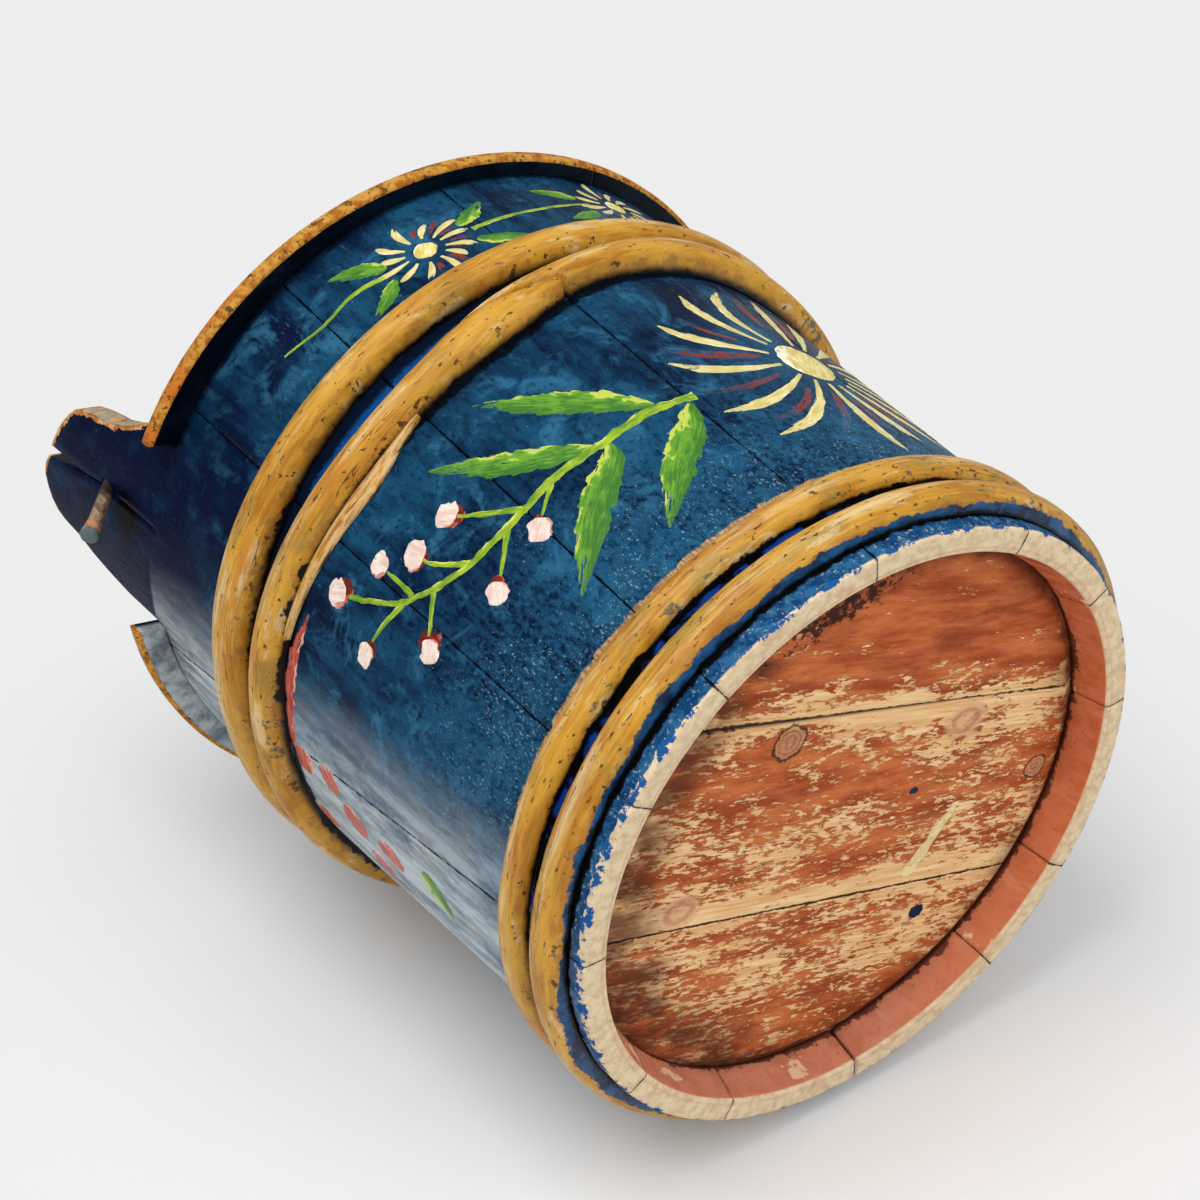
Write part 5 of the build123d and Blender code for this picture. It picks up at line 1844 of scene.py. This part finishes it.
def paint_asters():
    """The large aster and the small ones of the top band."""
    petals, cores, reds = [], [], []
    centre = spots(ASTER)
    for k, (angle, swing, reach) in enumerate(ASTER_PETALS):
        petals.append(ray_stroke(centre, angle, swing, 0.0142, reach * MM, 0.0024, petal_width, k,
                                 PETAL_LIFT))
    for k, (angle, swing, start, end, half) in enumerate(ASTER_REDS):
        reds.append(ray_stroke(centre, angle, swing, start * MM, end * MM, half * MM, dab_width, k + 30,
                               SHADE_LIFT))
    cores.append(dab(around(centre, 180, 0.0008), 60, 0.0118, 0.0118, 50, CORE_LIFT, 0.05))
    for which, (place, first, count, reach) in enumerate(SMALL_ASTERS):
        middle = spots(place)
        for k in range(count):
            angle = first + 360 * k / count + 6 * np.sin(5.1 * k + which)
            end = reach * (1 + 0.14 * np.sin(2.3 * k + which)) * MM
            petals.append(ray_stroke(middle, angle, -10, 0.0062, end, 0.0015, petal_width,
                                     60 + 20 * which + k, PETAL_LIFT))
            if angle % 360 < 90 or angle % 360 > 250:
                reds.append(ray_stroke(middle, angle + 14, -8, 0.0085, end * 0.95, 0.0013, dab_width,
                                       100 + 20 * which + k, SHADE_LIFT))
        cores.append(dab(middle, 60, 0.0044, 0.0044, 55 + which, CORE_LIFT, 0.06))
    paint("aster_shades", reds, "red_paint", "red_paint")
    paint("aster_petals", petals, "cream_paint", "ochre_paint")
    paint("aster_cores", cores, "core_paint", "ochre_paint")


def paint_sprig():
    """Leaves, stems and berries."""
    leaves = [ribbon(spots(line), half * MM, leaf_width, 140 + k, LEAF_LIFT, 0.10)
              for k, (line, half) in enumerate(LEAVES)]
    stems = [ribbon(spots(line), half * STEM_BOLDNESS * MM, stem_width, 160 + k, PETAL_LIFT, 0.26)
             for k, (line, half) in enumerate(STEMS)]
    berries, buds = [], []
    for k, (place, root) in enumerate(BERRIES):
        centre, start = spots(place), spots(root)
        angle = np.degrees(np.arctan2(*(centre - start)[::-1]))
        size = 0.0047 + 0.0003 * np.sin(3.7 * k)
        berries.append(dab(centre, angle, size * 0.92, size, 180 + k, BERRY_LIFT, 0.26))
        if BUD_SHARES[k]:
            bud = BUD_SHARES[k] * size
            middle = around(centre, angle + 20 * np.sin(2 * k), -0.62 * size)
            buds.append(dab(middle, angle + 60, bud, bud, 190 + k, SHADE_LIFT, 0.30))
    roses = [dab(spots(place), 20 * k, half * 0.0012, half * 0.0011, 200 + k, 0.00006)
             for k, (place, half) in enumerate(ROSES)]
    roses.append(ribbon(spots(HOOP_SMEAR), 0.0028, dab_width, 220, SHADE_LIFT, 0.3))
    paint("leaves", leaves, "green_paint", "blue_paint")
    paint("stems", stems, "stem_paint", "blue_paint")
    paint("berry_buds", buds, "bud_paint", "red_paint")
    paint("berries", berries, "berry_paint", "red_paint")
    paint("roses", roses, "rose_paint", "red_paint")


build_staves()
build_hoops()
build_head()
build_lid()
build_peg("lock_peg_split_ear", "peg_split_ear", 0, 0.0)
build_peg("lock_peg_whole_ear", "peg_whole_ear", 180, 1.0)
paint_asters()
paint_sprig()

for name in ("lid_dowels", "head_dowels"):
    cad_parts[name].data.materials.clear()
    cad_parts[name].data.materials.append(bar_material)


# Camera at the photograph's viewing angle: the container lies on its side before it

CAMERA_PLACE = Vector((-0.45992, -0.40609, -0.39655))
CAMERA_RIGHT = Vector((0.80803, -0.14807, -0.5702))
CAMERA_DOWN = Vector((-0.18136, 0.85834, -0.4799))
CAMERA_AHEAD = Vector((0.56053, 0.49116, 0.6667))
LENS = 69.0
SENSOR = 36.0
PHOTO_SIZE = 1200


def make_camera():
    data = bpy.data.cameras.new("camera")
    data.lens = LENS
    data.sensor_width = SENSOR
    data.clip_start = 0.01
    camera = bpy.data.objects.new("camera", data)
    turn = Matrix((CAMERA_RIGHT, -CAMERA_DOWN, -CAMERA_AHEAD)).transposed().to_4x4()
    camera.matrix_world = Matrix.Translation(CAMERA_PLACE) @ turn
    bpy.context.scene.collection.objects.link(camera)
    bpy.context.scene.camera = camera


def photo_ray(x, y):
    """Direction from the camera through a pixel of the photograph."""
    scale = SENSOR / LENS / PHOTO_SIZE
    return (CAMERA_AHEAD + CAMERA_RIGHT * ((x - PHOTO_SIZE / 2) * scale)
            + CAMERA_DOWN * ((y - PHOTO_SIZE / 2) * scale)).normalized()


# The table in the photograph touches the foot hoop and the upper hoop on the +Y side
TABLE_AZIMUTH = 79.6
TABLE_FOOT = (0.118, 0.0137)
TABLE_SLOPE = 0.0862
TABLE_END_PIXEL = (1150, 536)
TABLE_REACH = 4.0
FLOOR_REACH = 3.0
CENTRE = Vector((0, 0, 0.14))
# Near the container the floor takes its shadow, and further off it turns into an even glow
FLOOR_GLOW = 0.99
FLOOR_SOFTNESS = (0.10, 1.0)
FLOOR_NEAR, FLOOR_FAR = 0.19, 0.37


def stage_material(name, colour):
    """Pale floor that shows from its upper side alone."""
    shade = Shade(name)
    tint = shade.place().noise(40).mix(colour, [value + 1 for value in colour])
    diffuse = shade.node("ShaderNodeBsdfDiffuse", {0: tint}, 0)
    plain = shade.node("ShaderNodeEmission", {0: tint, 1: FLOOR_GLOW}, 0)
    seen = shade.node("ShaderNodeLightPath", (), "Is Camera Ray")
    away = shade.node("ShaderNodeVectorMath", {0: shade.place(), 1: CENTRE}, "Value",
                      operation="DISTANCE")
    softness = away.rise(FLOOR_NEAR, FLOOR_FAR).blend(*FLOOR_SOFTNESS)
    lit = shade.node("ShaderNodeMixShader", {0: seen * softness, 1: diffuse, 2: plain}, 0)
    clear = shade.node("ShaderNodeBsdfTransparent", (), 0)
    behind = shade.node("ShaderNodeNewGeometry", (), "Backfacing")
    return shade.output(shade.node("ShaderNodeMixShader", {0: behind, 1: lit, 2: clear}, 0))


def make_plane(name, corners, material, lit=True):
    """A flat piece of the stage, which lights the object only where it is lit itself."""
    mesh = bpy.data.meshes.new(name)
    mesh.from_pydata([tuple(corner) for corner in corners], [], [list(range(len(corners)))])
    plane = bpy.data.objects.new(name, mesh)
    plane.data.materials.append(material)
    bpy.context.scene.collection.objects.link(plane)
    plane.visible_shadow = False
    plane.visible_diffuse = plane.visible_glossy = lit


def make_stage():
    """The photograph's table, and an upright floor that shows only from above."""
    outward = Vector(polar(1.0, TABLE_AZIMUTH, 0.0))
    origin = outward * TABLE_FOOT[0] + UP * TABLE_FOOT[1]
    normal = (outward - UP * TABLE_SLOPE).normalized() * -1

    def on_table(x, y):
        ray = photo_ray(x, y)
        return CAMERA_PLACE + ray * ((origin - CAMERA_PLACE).dot(normal) / ray.dot(normal))

    end = on_table(*TABLE_END_PIXEL)
    along = (end - on_table(TABLE_END_PIXEL[0] - 300, TABLE_END_PIXEL[1])).normalized()
    back = normal.cross(along).normalized()
    if back.dot(CAMERA_PLACE - end) < 0:
        back = -back
    side, depth = along * TABLE_REACH, back * TABLE_REACH * 1.5
    corners = [end - side, end + side, end + side + depth, end - side + depth]
    if (corners[1] - corners[0]).cross(corners[2] - corners[0]).dot(normal) < 0:
        corners = corners[::-1]
    pale = stage_material("table", (238, 238, 238))
    make_plane("table", corners, pale)
    floor = [(x * FLOOR_REACH, y * FLOOR_REACH, 0) for x, y in ((-1, -1), (1, -1), (1, 1), (-1, 1))]
    make_plane("floor", floor, pale, lit=False)
    return normal


def make_lamp(name, place, size, power):
    """A square lamp that is turned to the container."""
    data = bpy.data.lights.new(name, "AREA")
    data.size = size
    data.energy = power
    lamp = bpy.data.objects.new(name, data)
    turn = (place - CENTRE).to_track_quat("Z", "Y").to_matrix()
    lamp.matrix_world = Matrix.Translation(place) @ turn.to_4x4()
    bpy.context.scene.collection.objects.link(lamp)


def make_light(up):
    """A white room and a broad lamp above the table."""
    room = Shade(bpy.data.worlds.new("room"))
    bpy.context.scene.world = room.owner
    seen = room.node("ShaderNodeLightPath", (), "Is Camera Ray")
    strength = room.node("ShaderNodeMapRange", {0: seen, "To Min": 0.52, "To Max": 0.85}, 0)
    background = room.node("ShaderNodeBackground", {0: (1, 1, 1, 1), 1: strength}, 0)
    room.node("ShaderNodeOutputWorld", {0: background})
    key = CENTRE + (up * 0.9 - CAMERA_RIGHT * 0.35 - CAMERA_AHEAD * 0.45).normalized() * 1.3
    make_lamp("key", key, 0.8, 9.0)
    fill = CENTRE + (up * 0.35 + CAMERA_RIGHT * 0.55 - CAMERA_AHEAD * 0.75).normalized() * 1.5
    make_lamp("fill", fill, 1.2, 7.5)


make_camera()
make_light(make_stage())
bpy.context.scene.view_settings.view_transform = "Standard"
